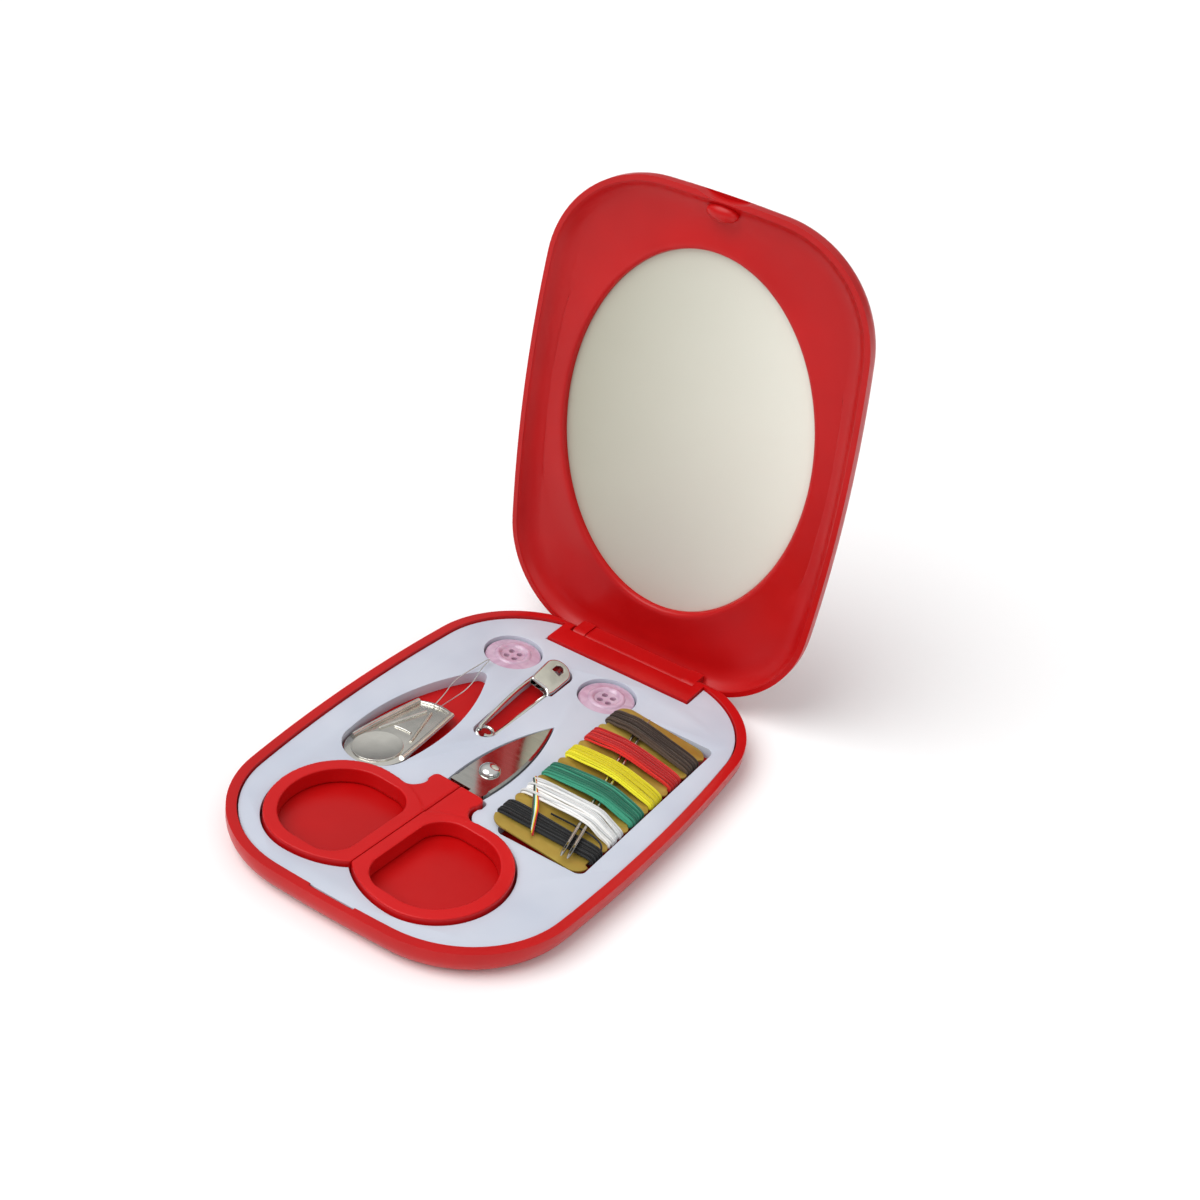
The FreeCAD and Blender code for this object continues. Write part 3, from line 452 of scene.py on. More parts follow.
def ball(half, place, segments, rings):
    """A sphere stretched to three half sizes."""
    alone()
    bpy.ops.mesh.primitive_uv_sphere_add(segments=segments, ring_count=rings, radius=mm)
    obj = bpy.context.object
    obj.scale = half
    obj.location = Vector(place) * mm
    return settle(obj)


def use(obj, kind, **settings):
    """Add a modifier with its settings and apply it."""
    alone(obj)
    modifier = obj.modifiers.new(kind.lower(), kind)
    for name, value in settings.items():
        setattr(modifier, name, value)
    bpy.ops.object.modifier_apply(modifier=modifier.name)
    return obj


def join_shape(obj, other):
    use(obj, "BOOLEAN", operation="UNION", object=other, solver="EXACT")
    bpy.data.objects.remove(other)


def cut_shape(obj, other):
    use(obj, "BOOLEAN", operation="DIFFERENCE", object=other, solver="EXACT")
    bpy.data.objects.remove(other)


def soften(obj, width, segments=3):
    """Round every sharp edge by a small width in millimetres."""
    return use(obj, "BEVEL", width=width * mm, segments=segments, limit_method="ANGLE",
               angle_limit=math.radians(32), use_clamp_overlap=True)


def merge(obj, others):
    """Put several shapes into one piece."""
    alone(obj)
    for other in others:
        other.select_set(True)
    bpy.ops.object.join()
    return obj


def move(obj, matrix):
    """Carry a finished shape to its place, so that the place is in its mesh."""
    alone(obj)
    obj.matrix_world = matrix
    return settle(obj)


def done(obj, name, body, finish, nodes=(), angle=32):
    """Name a piece, give it its finish and tie it to the frame."""
    alone(obj)
    obj.name = name
    obj.data.name = name
    bpy.ops.object.shade_smooth_by_angle(angle=math.radians(angle))
    obj.data.materials.clear()
    obj.data.materials.append(finish)
    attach(obj, body)
    if nodes:
        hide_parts(*nodes)
    print(name, "faces", len(obj.data.polygons))
    return obj


# %% [markdown]
# ## The outline of the case
# Seen from above the case is a rounded rectangle with slightly bowed sides and ends. It could be
# a plane with bevelled corners, but then its sides would be straight. Eight tangent arcs give the
# true curve, and moving it inwards only makes every radius smaller.

# %% The outline of the case
case_half_width = 32.0
case_half_length = 45.4
side_bow_radius = 307.0
end_bow_radius = 285.0
corner_radius = 20.7
side_steps = 18
corner_steps = 22
end_steps = 10


def arc_points(centre, radius, start, end, steps):
    """Points along an arc, the last one left to the next arc."""
    angles = [start + (end - start) * i / steps for i in range(steps)]
    return [(centre[0] + radius * math.cos(a), centre[1] + radius * math.sin(a)) for a in angles]


def oval(x, y, half_x, half_y, steps=96):
    return [(x + half_x * math.cos(math.tau * i / steps), y + half_y * math.sin(math.tau * i / steps))
            for i in range(steps)]


def case_outline(inset):
    """The outline moved inwards, as points in millimetres, anticlockwise from the right side."""
    half_width = case_half_width - inset
    half_length = case_half_length - inset
    side, end, corner = side_bow_radius - inset, end_bow_radius - inset, corner_radius - inset
    side_x = half_width - side
    end_y = half_length - end
    near, far = side - corner, end - corner
    gap = math.hypot(side_x, end_y)
    along = (near ** 2 - far ** 2 + gap ** 2) / (2 * gap)
    off = math.sqrt(near ** 2 - along ** 2)
    unit = Vector((-side_x / gap, end_y / gap))
    middle = Vector((side_x, 0)) + unit * along + Vector((-unit.y, unit.x)) * off
    low = math.atan2(middle.y, middle.x - side_x)
    high = math.atan2(middle.y - end_y, middle.x)
    half = arc_points((side_x, 0), side, -low, low, side_steps)
    half += arc_points((middle.x, middle.y), corner, low, high, corner_steps)
    half += arc_points((0, end_y), end, high, math.pi - high, end_steps)
    half += arc_points((-middle.x, middle.y), corner, math.pi - high, math.pi - low, corner_steps)
    return half + [(-x, -y) for x, y in half]


print("outline points", len(case_outline(0)))

# %% [markdown]
# ## Base of the case
# The base is a shallow tub: an upright rim that rounds over into a flat underside. By hand it is
# an extruded outline with its lower edge bevelled, its top inset by the rim width and pushed
# down. A block at the back carries the hinge, and a pocket in it takes the arms of the lid.

# %% Base of the case
rim_width = 1.7
case_height = 5.2
wall_round = 4.0
floor_height = 2.6
tray_top = 4.7
hinge_y = 43.43
hinge_z = 3.3
hinge_notch_half = 13.2
hinge_block_half = 14.9
hinge_block_front = 36.9
hinge_pocket_front = 41.6
hinge_pocket_floor = 1.58
ear_reach = 1.7
latch_half = 4.2
case_edge = 0.22
beyond = 8.0


def tub(name, rim_z, direction, rim):
    """Half a case with its open side at the rim height, its top face picked inside the rim."""
    far = rim_z + direction * case_height
    obj = slab(name, case_outline(0), rim_z, far)
    edit(obj)
    pick_level("EDGE", far)
    bpy.ops.mesh.bevel(offset=wall_round * mm, segments=12, profile=0.5, affect="EDGES")
    pick_level("FACE", rim_z)
    bpy.ops.mesh.inset(thickness=rim * mm, use_even_offset=True)
    return obj


def hinge_rod(radius, low, high, sides=48):
    """A cylinder along the hinge line."""
    return rod(radius, (low, hinge_y, hinge_z), (high, hinge_y, hinge_z), sides)


base = tub("base", case_height, -1, rim_width)
pull(floor_height - case_height)
join_shape(base, brick((-hinge_block_half, hinge_block_front, floor_height - 0.5),
                       (hinge_block_half, case_half_length - rim_width / 2, case_height)))
cut_shape(base, brick((-hinge_notch_half, hinge_pocket_front, hinge_pocket_floor),
                      (hinge_notch_half, case_half_length + beyond, case_height + beyond)))
ear_cutter = brick((-case_half_width, hinge_y, hinge_z),
                   (case_half_width, case_half_length + beyond, case_height + beyond))
cut_shape(ear_cutter, hinge_rod(ear_reach, -case_half_width - 1, case_half_width + 1))
cut_shape(base, ear_cutter)
latch_inner = -(case_half_length - rim_width)
cut_shape(base, brick((-latch_half, latch_inner - 0.5, tray_top),
                      (latch_half, latch_inner + 2, case_height + beyond)))
soften(base, case_edge)
done(base, "case_base", "base", red_polystyrene, ["base_shell"])

# %% [markdown]
# ## Hinge pins
# Two short steel pins join the halves. They are hidden in their bores, so the CAD pins stay as
# they are and only get the finish of drawn steel.

# %% Hinge pins
for side in ("left", "right"):
    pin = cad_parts["hinge_pin_" + side]
    pin.data.materials.clear()
    pin.data.materials.append(needle_steel)
print("hinge pins finished")

# %% [markdown]
# ## Lid of the case
# The lid is the same tub turned over. It is modelled closed, where its heights are easy to read,
# and swung open about the hinge at the end. Two arms with a web between them reach down into the
# pocket of the base, a rounded nub at the front is the catch, and a shallow scoop gives the thumb a hold.

# %% Lid of the case
lid_rim = case_height + 0.15
lid_open = 91
swing = moved_by(0, hinge_y, hinge_z) @ turned_by(-lid_open, "X") @ moved_by(0, -hinge_y, -hinge_z)
arm_outer = 13.0
arm_inner = 10.4
arm_reach = 1.6
arm_bore = 0.64
arm_root = 1.1
web_reach = 1.3
seat_depth = 3.95
lid_lip = 0.95
lip_depth = 1.9
nub_half = (3.0, 1.5, 1.5)
scoop_radius = 14.0
scoop_bite = 0.9
scoop_height = 2.4


def hinge_arm(low, high, reach, rear):
    """A block that reaches down from the lid to a rounded end on the hinge line."""
    arm = brick((low, hinge_y - reach, hinge_z), (high, hinge_y + rear, lid_rim + arm_root))
    join_shape(arm, hinge_rod(reach, low, high))
    return arm


lid = tub("lid", lid_rim, 1, lid_lip)
pull(lip_depth)
bpy.ops.mesh.inset(thickness=(rim_width - lid_lip) * mm, use_even_offset=True)
pull(seat_depth - lip_depth)
join_shape(lid, hinge_arm(-arm_inner, arm_inner, web_reach, web_reach))
for sign in (-1, 1):
    low, high = sorted((sign * arm_inner, sign * arm_outer))
    arm = hinge_arm(low, high, arm_reach, arm_reach - 0.1)
    cut_shape(arm, hinge_rod(arm_bore, low - 1, high + 1, 24))
    join_shape(lid, arm)

nub_place = (0, latch_inner + 1.2, lid_rim + 1.15)
join_shape(lid, ball(nub_half, nub_place, 40, 20))
scoop_y = -case_half_length + scoop_bite - scoop_radius
cut_shape(lid, rod(scoop_radius, (0, scoop_y, lid_rim - beyond), (0, scoop_y, lid_rim + scoop_height), 128))
soften(lid, case_edge)
done(move(lid, swing), "case_lid", "lid", red_polystyrene, ["lid_shell"])

# %% [markdown]
# ## Dished panel round the mirror
# Inside the lid the plastic dips away from the rim and swells softly into a bezel round the
# mirror. Such a surface runs from one outline to another, so a grid is rolled into rings: the
# outer rings follow the case, the inner ones an oval, and each ring has its own depth. Solidify
# then gives the sheet its thickness.

# %% Dished panel round the mirror
mirror_half_width = 24.3
mirror_half_length = 34.1
mirror_shift = -1.0
mirror_depth = 2.8
case_rings = [(0.8, 0.3), (1.05, 0.42), (1.4, 0.85), (1.9, 1.4), (2.6, 1.88), (3.4, 2.2), (4.4, 2.42)]
oval_rings = [(5.5, 2.5), (4.0, 2.42), (2.6, 2.25), (1.6, 2.1), (0.9, 2.0), (0.5, 2.04), (0.28, 2.3),
              (0.2, 3.1)]
between_rings = 5
sheet_thickness = 0.5


def oval_point(toward, grow):
    """The point of the mirror's oval, grown by a little, in the direction of another point."""
    across, along = mirror_half_width + grow, mirror_half_length + grow
    angle = math.atan2((toward[1] - mirror_shift) / along, toward[0] / across)
    return Vector((across * math.cos(angle), mirror_shift + along * math.sin(angle)))


def panel_rings():
    """Every ring of the panel as a list of points in millimetres."""
    rings = []
    for inset, depth in case_rings:
        rings.append([Vector((x, y, lid_rim + depth)) for x, y in case_outline(inset)])
    inset, start_depth = case_rings[-1]
    grow, end_depth = oval_rings[0]
    for step in range(1, between_rings):
        share = step / between_rings
        ring = []
        for x, y in case_outline(inset):
            level = Vector((x, y)).lerp(oval_point((x, y), grow), share)
            ring.append(Vector((level.x, level.y, lid_rim + start_depth + (end_depth - start_depth) * share)))
        rings.append(ring)
    for grow, depth in oval_rings:
        ring = [oval_point(point, grow) for point in case_outline(inset)]
        rings.append([Vector((point.x, point.y, lid_rim + depth)) for point in ring])
    return rings


def roll_grid(name, rings, closed_ends=False):
    """Roll a grid into a tube whose rows are the given rings, and weld its seam."""
    around, rows = len(rings[0]), len(rings)
    alone()
    bpy.ops.mesh.primitive_grid_add(x_subdivisions=around, y_subdivisions=rows - 1, size=1)
    obj = bpy.context.object
    obj.name = name
    for vertex in obj.data.vertices:
        column = round((vertex.co.x + 0.5) * around) % around
        row = round((vertex.co.y + 0.5) * (rows - 1))
        vertex.co = rings[row][column] * mm
    edit(obj)
    bpy.ops.mesh.select_all(action="SELECT")
    bpy.ops.mesh.remove_doubles(threshold=tiny * mm / 10)
    if closed_ends:
        bpy.ops.mesh.select_mode(type="EDGE")
        bpy.ops.mesh.select_all(action="DESELECT")
        bpy.ops.mesh.select_non_manifold()
        bpy.ops.mesh.edge_face_add()
    bpy.ops.mesh.select_all(action="SELECT")
    bpy.ops.mesh.normals_make_consistent(inside=False)
    return alone(obj)


panel = roll_grid("panel", panel_rings())
use(panel, "SUBSURF", levels=1, render_levels=1)
use(panel, "SOLIDIFY", thickness=sheet_thickness * mm, offset=0)
done(move(panel, swing), "lid_panel", "lid", red_polystyrene, angle=60)

# %% [markdown]
# ## Mirror
# An oval of silvered glass, one millimetre thick, lies behind the bezel. It starts as a circle,
# is stretched to the oval, extruded and given a fine ground edge. The strip of tape behind it
# can't be seen, so the CAD tape stays.

# %% Mirror
glass_back = lid_rim + mirror_depth + 1.0
glass_edge = 0.12
mirror_outline = oval(0, mirror_shift, mirror_half_width, mirror_half_length, 160)
mirror = slab("glass", mirror_outline, lid_rim + mirror_depth, glass_back)
soften(mirror, glass_edge)
# The glass finish has a painted reflection, paler towards the right.
done(move(mirror, swing), "mirror_glass", "lid", filmed_glass_with_painted_reflection(mirror_half_width), ["mirror"])
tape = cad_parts["mirror_tape"]
tape.data.materials.clear()
tape.data.materials.append(white_sheet)

# %% [markdown]
# ## Outlines of the tools
# The tray has a cut-out for every tool, a little wider than the tool itself. So the outlines come
# first, each with a value to grow it by, and both the tool and its cut-out use the same one. The
# scissors and the threader are drawn straight and then turned to lie as they do in the tray.

# %% Outlines of the tools
scissors_place = moved_by(0.1, -3.0, 0) @ turned_by(-3.6, "Z")
threader_place = moved_by(-18.3, -8.8, 0) @ turned_by(-2.4, "Z")
blade_reach = 17.5
blade_heel = 5.9
blade_half_width = 3.4
handle_shift = -0.5
bow_x, bow_y = 10.5, -24.75
bow_half_length = 12.35
bow_outer, bow_inner = 11.1, 14.46
bow_ring = 2.3
hole_corner = 5.0
neck_half, neck_top, neck_inner = 5.2, -6.9, -0.6
pin_x, pin_y, cap_y = -7.2, 6.2, 21.8


def through_three(first, middle, last, steps):
    """Points along the arc through three points, the last one left out."""
    a, b, c = Vector(first), Vector(middle), Vector(last)
    d = 2 * (a.x * (b.y - c.y) + b.x * (c.y - a.y) + c.x * (a.y - b.y))
    centre = Vector(((a.dot(a) * (b.y - c.y) + b.dot(b) * (c.y - a.y) + c.dot(c) * (a.y - b.y)) / d,
                     (a.dot(a) * (c.x - b.x) + b.dot(b) * (a.x - c.x) + c.dot(c) * (b.x - a.x)) / d))
    start, way, end = [math.atan2(p.y - centre.y, p.x - centre.x) for p in (a, b, c)]
    sweep = (end - start) % math.tau
    if (way - start) % math.tau > sweep:
        sweep -= math.tau
    return arc_points(centre, (a - centre).length, start, start + sweep, steps)


def blade_outline(grow):
    """A leaf with a straight heel."""
    tip = (0, blade_reach + grow)
    left = (-blade_half_width - grow, -blade_heel - grow)
    right = (blade_half_width + grow, -blade_heel - grow)
    points = through_three(right, (3.3 + grow, 5.0), tip, 30)
    return points + through_three(tip, (-3.3 - grow, 5.0), left, 30) + [left]


def half_oval(half_x, half_y, start, end, steps):
    """Part of an oval about the middle of the right bow."""
    angles = [math.radians(start + (end - start) * i / steps) for i in range(steps)]
    return [(bow_x + half_x * math.cos(a), bow_y + half_y * math.sin(a)) for a in angles]


def on_side(sign, points):
    """Points of the right handle, or their mirror image for the left one."""
    return [(sign * x + handle_shift, y) for x, y in points]


def bow_outline(sign, grow):
    """The outside of a finger bow: two half ovals, the inner one reaching past the parting line."""
    half_y = bow_half_length + grow
    outer = half_oval(bow_outer + grow, half_y, -90, 90, 60)
    return on_side(sign, outer + half_oval(bow_inner + grow, half_y, 90, 270, 60))


def hole_outline(sign):
    """The hole of a bow: half an oval outside, straight with two round corners along the bar."""
    half_y = bow_half_length - bow_ring
    corner_x = bow_ring + hole_corner
    points = half_oval(bow_outer - bow_ring, half_y, -90, 90, 60)
    points += arc_points((corner_x, bow_y + half_y - hole_corner), hole_corner, math.pi / 2, math.pi, 16)
    points += arc_points((corner_x, bow_y - half_y + hole_corner), hole_corner, math.pi, 1.5 * math.pi, 16)
    return on_side(sign, points)


def neck_outline(sign, grow):
    """The part of a handle between the blade and the bow, with a collar and a hollow outer corner."""
    half, top = neck_half + grow, neck_top + grow
    points = [(neck_inner, top), (half - 1.2, top)]
    points += through_three((half - 1.1, top), (half - 0.3, top - 0.3), (half, top - 1.1), 5)
    points += [(half, top - 2.0), (half - 0.35, top - 2.5)]
    hollow = (half - 0.35, top - 3.4), (half + 0.5, -11.9 + grow), (8.9 + grow, -12.75 + grow)
    points += through_three(*hollow, 10)
    points += [(9.4, -14.0), (4.0, bow_y), (neck_inner, bow_y)]
    return on_side(sign, points)


def plate_outline():
    """The threader: a round end, two tangent sides and a gently bowed far end."""
    round_end, far_half, far_y, tip_y = 5.8, 3.9, 15.2, 16.3
    lean = math.atan2(round_end - far_half, tip_y)
    right = (round_end * math.cos(lean), round_end * math.sin(lean))
    far_right, far_left = (far_half, far_y), (-far_half, far_y)
    points = through_three((-right[0], right[1]), (0, -round_end), right, 44) + [right]
    return points + through_three(far_right, (0, tip_y), far_left, 16) + [far_left]


def threader_cut_outline():
    """A round end and two bowed sides that close to a blunt tip."""
    wide, bow, tip = 6.2, (4.7, 19.5), (1, 28.2)
    points = through_three((-wide, 0), (0, -wide), (wide, 0), 40) + through_three((wide, 0), bow, tip, 24)
    points += through_three(tip, (0, 28.7), (-tip[0], tip[1]), 8)
    return points + through_three((-tip[0], tip[1]), (-bow[0], bow[1]), (-wide, 0), 24)


def pin_cut_outline():
    """Narrow along the arms, wide and round at the cap."""
    small, right_edge, wide, shoulder = 2.05, 2.35, 3.0, 15.6
    points = arc_points((pin_x, pin_y), small, math.pi, math.tau, 20)
    points += [(pin_x + small, pin_y), (pin_x + right_edge, pin_y + shoulder)]
    points += [(pin_x + wide, pin_y + 15.9)]
    points += arc_points((pin_x, pin_y + cap_y), wide, 0, math.pi, 28)
    return points + [(pin_x - wide, pin_y + cap_y), (pin_x - wide, pin_y + shoulder)]


def rounded_rectangle(left, right, front, rear, radius, steps=8):
    x_low, x_high, y_low, y_high = left + radius, right - radius, front + radius, rear - radius
    quarter = math.pi / 2
    points = []
    for number, centre in enumerate([(x_high, y_high), (x_low, y_high), (x_low, y_low), (x_high, y_low)]):
        points += arc_points(centre, radius, number * quarter, (number + 1) * quarter, steps)
    return points


print("blade outline points", len(blade_outline(0)))

# %% [markdown]
# ## Tray
# The tray is one formed sheet. It starts as the outline of the case, a little smaller, and each
# cut-out is a slab of a tool's outline taken away with a Boolean. A small bevel then rounds all
# the edges as vacuum forming does.

# %% Tray
recess = 0.4
tray_gap = 0.25
button_places = [(-17.0, 28.9), (3.1, 28.9)]
button_radius = 5.1
tray_edge = 0.2
heel_front, heel_rear = -8, -6.0
card_pocket = rounded_rectangle(9.3, 25.8, -14.8, 27.8, 1.5)


def punch(outline):
    """A slab of an outline, tall enough to cut right through."""
    return slab("cut", outline, 0, beyond)


tray = slab("tray", case_outline(rim_width + tray_gap), floor_height + 0.01, tray_top)
button_cut = button_radius + tray_gap
cutters = [punch(oval(x, y, button_cut, button_cut)) for x, y in button_places]
for sign in (-1, 1):
    cutters.append(move(punch(bow_outline(sign, recess)), scissors_place))
    cutters.append(move(punch(neck_outline(sign, recess)), scissors_place))
cutters.append(move(punch(blade_outline(recess)), scissors_place))
heel_half = blade_half_width + recess
cutters.append(move(brick((-heel_half, heel_front, 0), (heel_half, heel_rear, beyond)), scissors_place))
cutters.append(move(punch(threader_cut_outline()), threader_place))
cutters.append(punch(pin_cut_outline()))
cutters.append(punch(card_pocket))
cutters.append(brick((-hinge_block_half - tray_gap, hinge_block_front - tray_gap, 0),
                     (hinge_block_half + tray_gap, case_half_length + beyond, beyond)))
for cutter in cutters:
    cut_shape(tray, cutter)
    print("tray faces", len(tray.data.polygons))
soften(tray, tray_edge)
done(tray, "fitted_tray", "base", white_sheet, ["tray_insert"])

# %% [markdown]
# ## Buttons
# A shirt button is a disc with a flat edge, a raised ring, a dished middle and four holes. Its
# profile is a list of shares of the radius with heights; a grid is rolled into a ring for each of
# them, the ends are closed and four rods punch the holes.

# %% Buttons
button_seat = floor_height + 0.05
hole_offset = 0.85
hole_radius = 0.55
button_profile = [(0.92, 0.0), (1.0, 0.25), (1.0, 1.25), (0.97, 1.45), (0.9, 1.55), (0.66, 1.7), (0.62, 1.9),
                  (0.58, 2.0), (0.53, 2.0), (0.48, 1.85), (0.42, 1.55), (0.3, 1.45), (0.02, 1.42)]


def shirt_button(name, x, y):
    rings = []
    for share, height in button_profile:
        circle = oval(x, y, button_radius * share, button_radius * share, 72)
        rings.append([Vector((px, py, button_seat + height)) for px, py in circle])
    obj = roll_grid(name, rings, closed_ends=True)
    for step_x in (-1, 1):
        for step_y in (-1, 1):
            place = Vector((x + step_x * hole_offset, y + step_y * hole_offset, 0))
            cut_shape(obj, rod(hole_radius, place, place + Vector((0, 0, beyond)), 24))
    return obj


for side, (x, y) in zip(("left", "right"), button_places):
    button = shirt_button("button", x, y)
    done(button, "shirt_button_" + side, "button_" + side, pink_resin, ["button_" + side])

# %% [markdown]
# ## Scissor blades and rivet
# Each blade is a polished steel leaf with a tongue that goes into its handle. Both are bevelled
# along the upper edge, as a grinder leaves them. The rivet is a flattened sphere cut in half, a
# dome on a short shank with a foot.

# %% Scissor blades and rivet
handle_low = button_seat
handle_high = handle_low + 3.0
blade_thickness = 0.8
blade_gap = 0.04
lower_blade = handle_low + 0.7
upper_blade = lower_blade + blade_thickness + blade_gap
grind_width = 0.32
blade_edge = 0.06
tongue_near, tongue_far, tongue_length = 0.8, 3.2, 6.0
rivet_hole = 1.15


def scissor_blade(name, sign, low):
    obj = slab(name, blade_outline(0), low, low + blade_thickness)
    edit(obj)
    pick("EDGE", lambda points: all(abs(p.z - low - blade_thickness) < tiny and p.y > -blade_heel + 1
                                    for p in points))
    bpy.ops.mesh.bevel(offset=grind_width * mm, segments=1, affect="EDGES")
    alone(obj)
    near, far = sorted((sign * tongue_near, sign * tongue_far))
    join_shape(obj, brick((near, -blade_heel - tongue_length, low),
                          (far, -blade_heel + 0.5, low + blade_thickness)))
    cut_shape(obj, rod(rivet_hole, (0, 0, 0), (0, 0, beyond)))
    soften(obj, blade_edge, 2)
    return move(obj, scissors_place)


for side, sign, low in (("left", -1, lower_blade), ("right", 1, upper_blade)):
    blade = scissor_blade("blade", sign, low)
    done(blade, "blade_" + side, "scissor_" + side, ground_steel, ["scissor_blade_" + side], 5)

shank_top = upper_blade + blade_thickness + blade_gap
shank_foot = lower_blade - blade_gap
shank_radius, foot_radius, foot_height = 1.1, 1.7, 0.5
dome_radius, dome_height = 1.85, 1.1
rivet = ball((dome_radius, dome_radius, dome_height), (0, 0, shank_top), 48, 32)
edit(rivet)
bpy.ops.mesh.select_all(action="SELECT")
bpy.ops.mesh.bisect(plane_co=(0, 0, shank_top * mm), plane_no=(0, 0, 1), use_fill=True, clear_inner=True)
alone(rivet)
join_shape(rivet, rod(shank_radius, (0, 0, shank_foot), (0, 0, shank_top + 0.2)))
join_shape(rivet, rod(foot_radius, (0, 0, shank_foot - foot_height), (0, 0, shank_foot)))
done(move(rivet, scissors_place), "rivet_dome", "scissors", nickel_plate, ["scissor_rivet"])

# %% [markdown]
# ## Scissor handles
# A handle is moulded in one go, so its bow flows into its neck with soft hollows. The bow and the
# neck are slabs joined with a Boolean and rounded with a bevel, the finger hole is cut and rounded
# in turn, and a straight cut parts it from the other handle. A voxel remesh with some smoothing
# melts the joins and rounds the edges along the line where the two handles meet.

# %% Scissor handles
voxel = 0.2
outer_round = 0.55
hole_round = 0.7
parting_gap = 0.06
past_side, past_front, past_rear = 30, -60, 20


def scissor_handle(name, sign):
    obj = slab(name, bow_outline(sign, 0), handle_low, handle_high)
    join_shape(obj, slab("neck", neck_outline(sign, 0), handle_low, handle_high - 0.1))
    soften(obj, outer_round, 5)
    cut_shape(obj, punch(hole_outline(sign)))
    soften(obj, hole_round, 5)
    near, far = sorted((handle_shift + sign * parting_gap, handle_shift - sign * past_side))
    cut_shape(obj, brick((near, past_front, 0), (far, past_rear, beyond)))
    use(obj, "REMESH", mode="VOXEL", voxel_size=voxel * mm)
    use(obj, "SMOOTH", factor=0.5, iterations=5)
    return move(obj, scissors_place)


for side, sign in (("left", -1), ("right", 1)):
    handle = scissor_handle("handle", sign)
    done(handle, "handle_" + side, "scissor_" + side, handle_plastic,
         ["scissor_handle_" + side], 50)

# %% [markdown]
# ## Needle threader
# A threader is a thin tinplate grip with its long edges folded over and a fine wire loop held in
# it. The plate is a slab; a raised disc and plain straight beads stiffen it. Beads and folded
# edges are curves with a round profile, turned into mesh and joined to the plate.

# %% Needle threader
plate_top = button_seat + 0.35


def strand(name, points, diameter, order=4, resolution=6):
    """A smooth round strand along points in millimetres."""
    curve = bpy.data.curves.new(name, "CURVE")
    curve.dimensions = "3D"
    spline = curve.splines.new("NURBS")
    spline.points.add(len(points) - 1)
    for control, point in zip(spline.points, points):
        control.co = (*(Vector(point) * mm), 1.0)
    spline.order_u = order
    spline.use_endpoint_u = True
    spline.resolution_u = resolution
    curve.bevel_depth = diameter / 2 * mm
    curve.bevel_resolution = 3
    curve.use_fill_caps = True
    obj = bpy.data.objects.new(name, curve)
    bpy.context.scene.collection.objects.link(obj)
    alone(obj)
    bpy.ops.object.convert(target="MESH")
    obj = bpy.context.object
    map_plies(obj.data)
    return obj


def map_plies(mesh):
    """Give a strand a UV map that counts the ridges of two twisted plies."""
    around, ply_pitch, plies = 10, 0.9, 2
    rings = len(mesh.vertices) // around
    middles = []
    for start in range(0, rings * around, around):
        ring = [mesh.vertices[start + i].co for i in range(around)]
        middles.append(sum(ring, Vector()) / around)
    along = [0.0]
    for first, second in zip(middles, middles[1:]):
        along.append(along[-1] + (second - first).length / mm)
    layer = mesh.uv_layers.new(name="plies")
    for face in mesh.polygons:
        corners = [mesh.loops[i].vertex_index for i in face.loop_indices]
        wraps = {0, around - 1} <= {corner % around for corner in corners} and len(corners) == 4
        for loop, corner in zip(face.loop_indices, corners):
            turn_share = corner % around / around
            if wraps and corner % around == 0:
                turn_share = 1.0
            layer.data[loop].uv = (along[corner // around] / ply_pitch + plies * turn_share, turn_share)


def on_plate(name, points, diameter, order=4):
    """A strand whose heights are counted from the top of the plate."""
    return strand(name, [(x, y, plate_top + z) for x, y, z in points], diameter, order)


threader_rise = 1.0
threader_lean = -5
threader_lay = (threader_place @ moved_by(0, 0, button_seat + threader_rise)
                @ turned_by(threader_lean, "Y") @ moved_by(0, 0, -button_seat))

disc_top = plate_top + 0.4
disc_radius = 4.35
disc_rim = 0.45
disc_dip = 0.22
plate_edge, disc_edge = 0.05, 0.16
plate = slab("plate", plate_outline(), button_seat, plate_top)
soften(plate, plate_edge, 2)
disc = slab("disc", oval(0, -0.4, disc_radius, disc_radius), plate_top - 0.05, disc_top)
edit(disc)
pick_level("FACE", disc_top)
bpy.ops.mesh.inset(thickness=disc_rim * mm)
bpy.ops.transform.translate(value=(0, 0, -disc_dip * mm))
alone(disc)
soften(disc, disc_edge)
edges = []
for sign in (-1, 1):
    fold = [(5.35, -0.5, 0.1), (5.2, 2.5, 0.15), (4.6, 8, 0.15), (3.6, 15.0, 0.1)]
    bead = [(3.4, 4.2, 0.05), (2.0, 8.5, 0.1), (0.5, 13.2, 0.05)]
    edges.append(on_plate("fold", [(sign * x, y, z) for x, y, z in fold], 1.05))
    edges.append(on_plate("bead", [(sign * x, y, z) for x, y, z in bead], 0.6))
edges.append(on_plate("bead", [(-1.7, 6.3, 0.02), (0, 6.5, 0.1), (1.7, 6.3, 0.02)], 0.5))
edges.append(on_plate("lip", [(-3.3, 15.0, 0), (0, 16.1, 0.1), (3.3, 15.0, 0)], 0.45, order=3))
merge(plate, [disc] + edges)
done(move(plate, threader_lay), "threader_grip", "threader", tinplate, ["threader_plate"], 50)

wire_points = [(-0.5, 14.9, 0.17), (-0.9, 18.5, 0.51), (-2.3, 23.0, 0.95), (-1.5, 28.8, 1.51),
               (-1.15, 31.5, 1.77), (-0.75, 31.5, 1.77), (-0.5, 28.8, 1.51), (1.3, 23.0, 0.95),
               (0.9, 18.5, 0.51), (0.5, 14.9, 0.17)]
wire = on_plate("loop", wire_points, 0.2, order=3)
done(move(wire, threader_lay), "threader_loop", "threader", nickel_plate, ["threader_wire"])

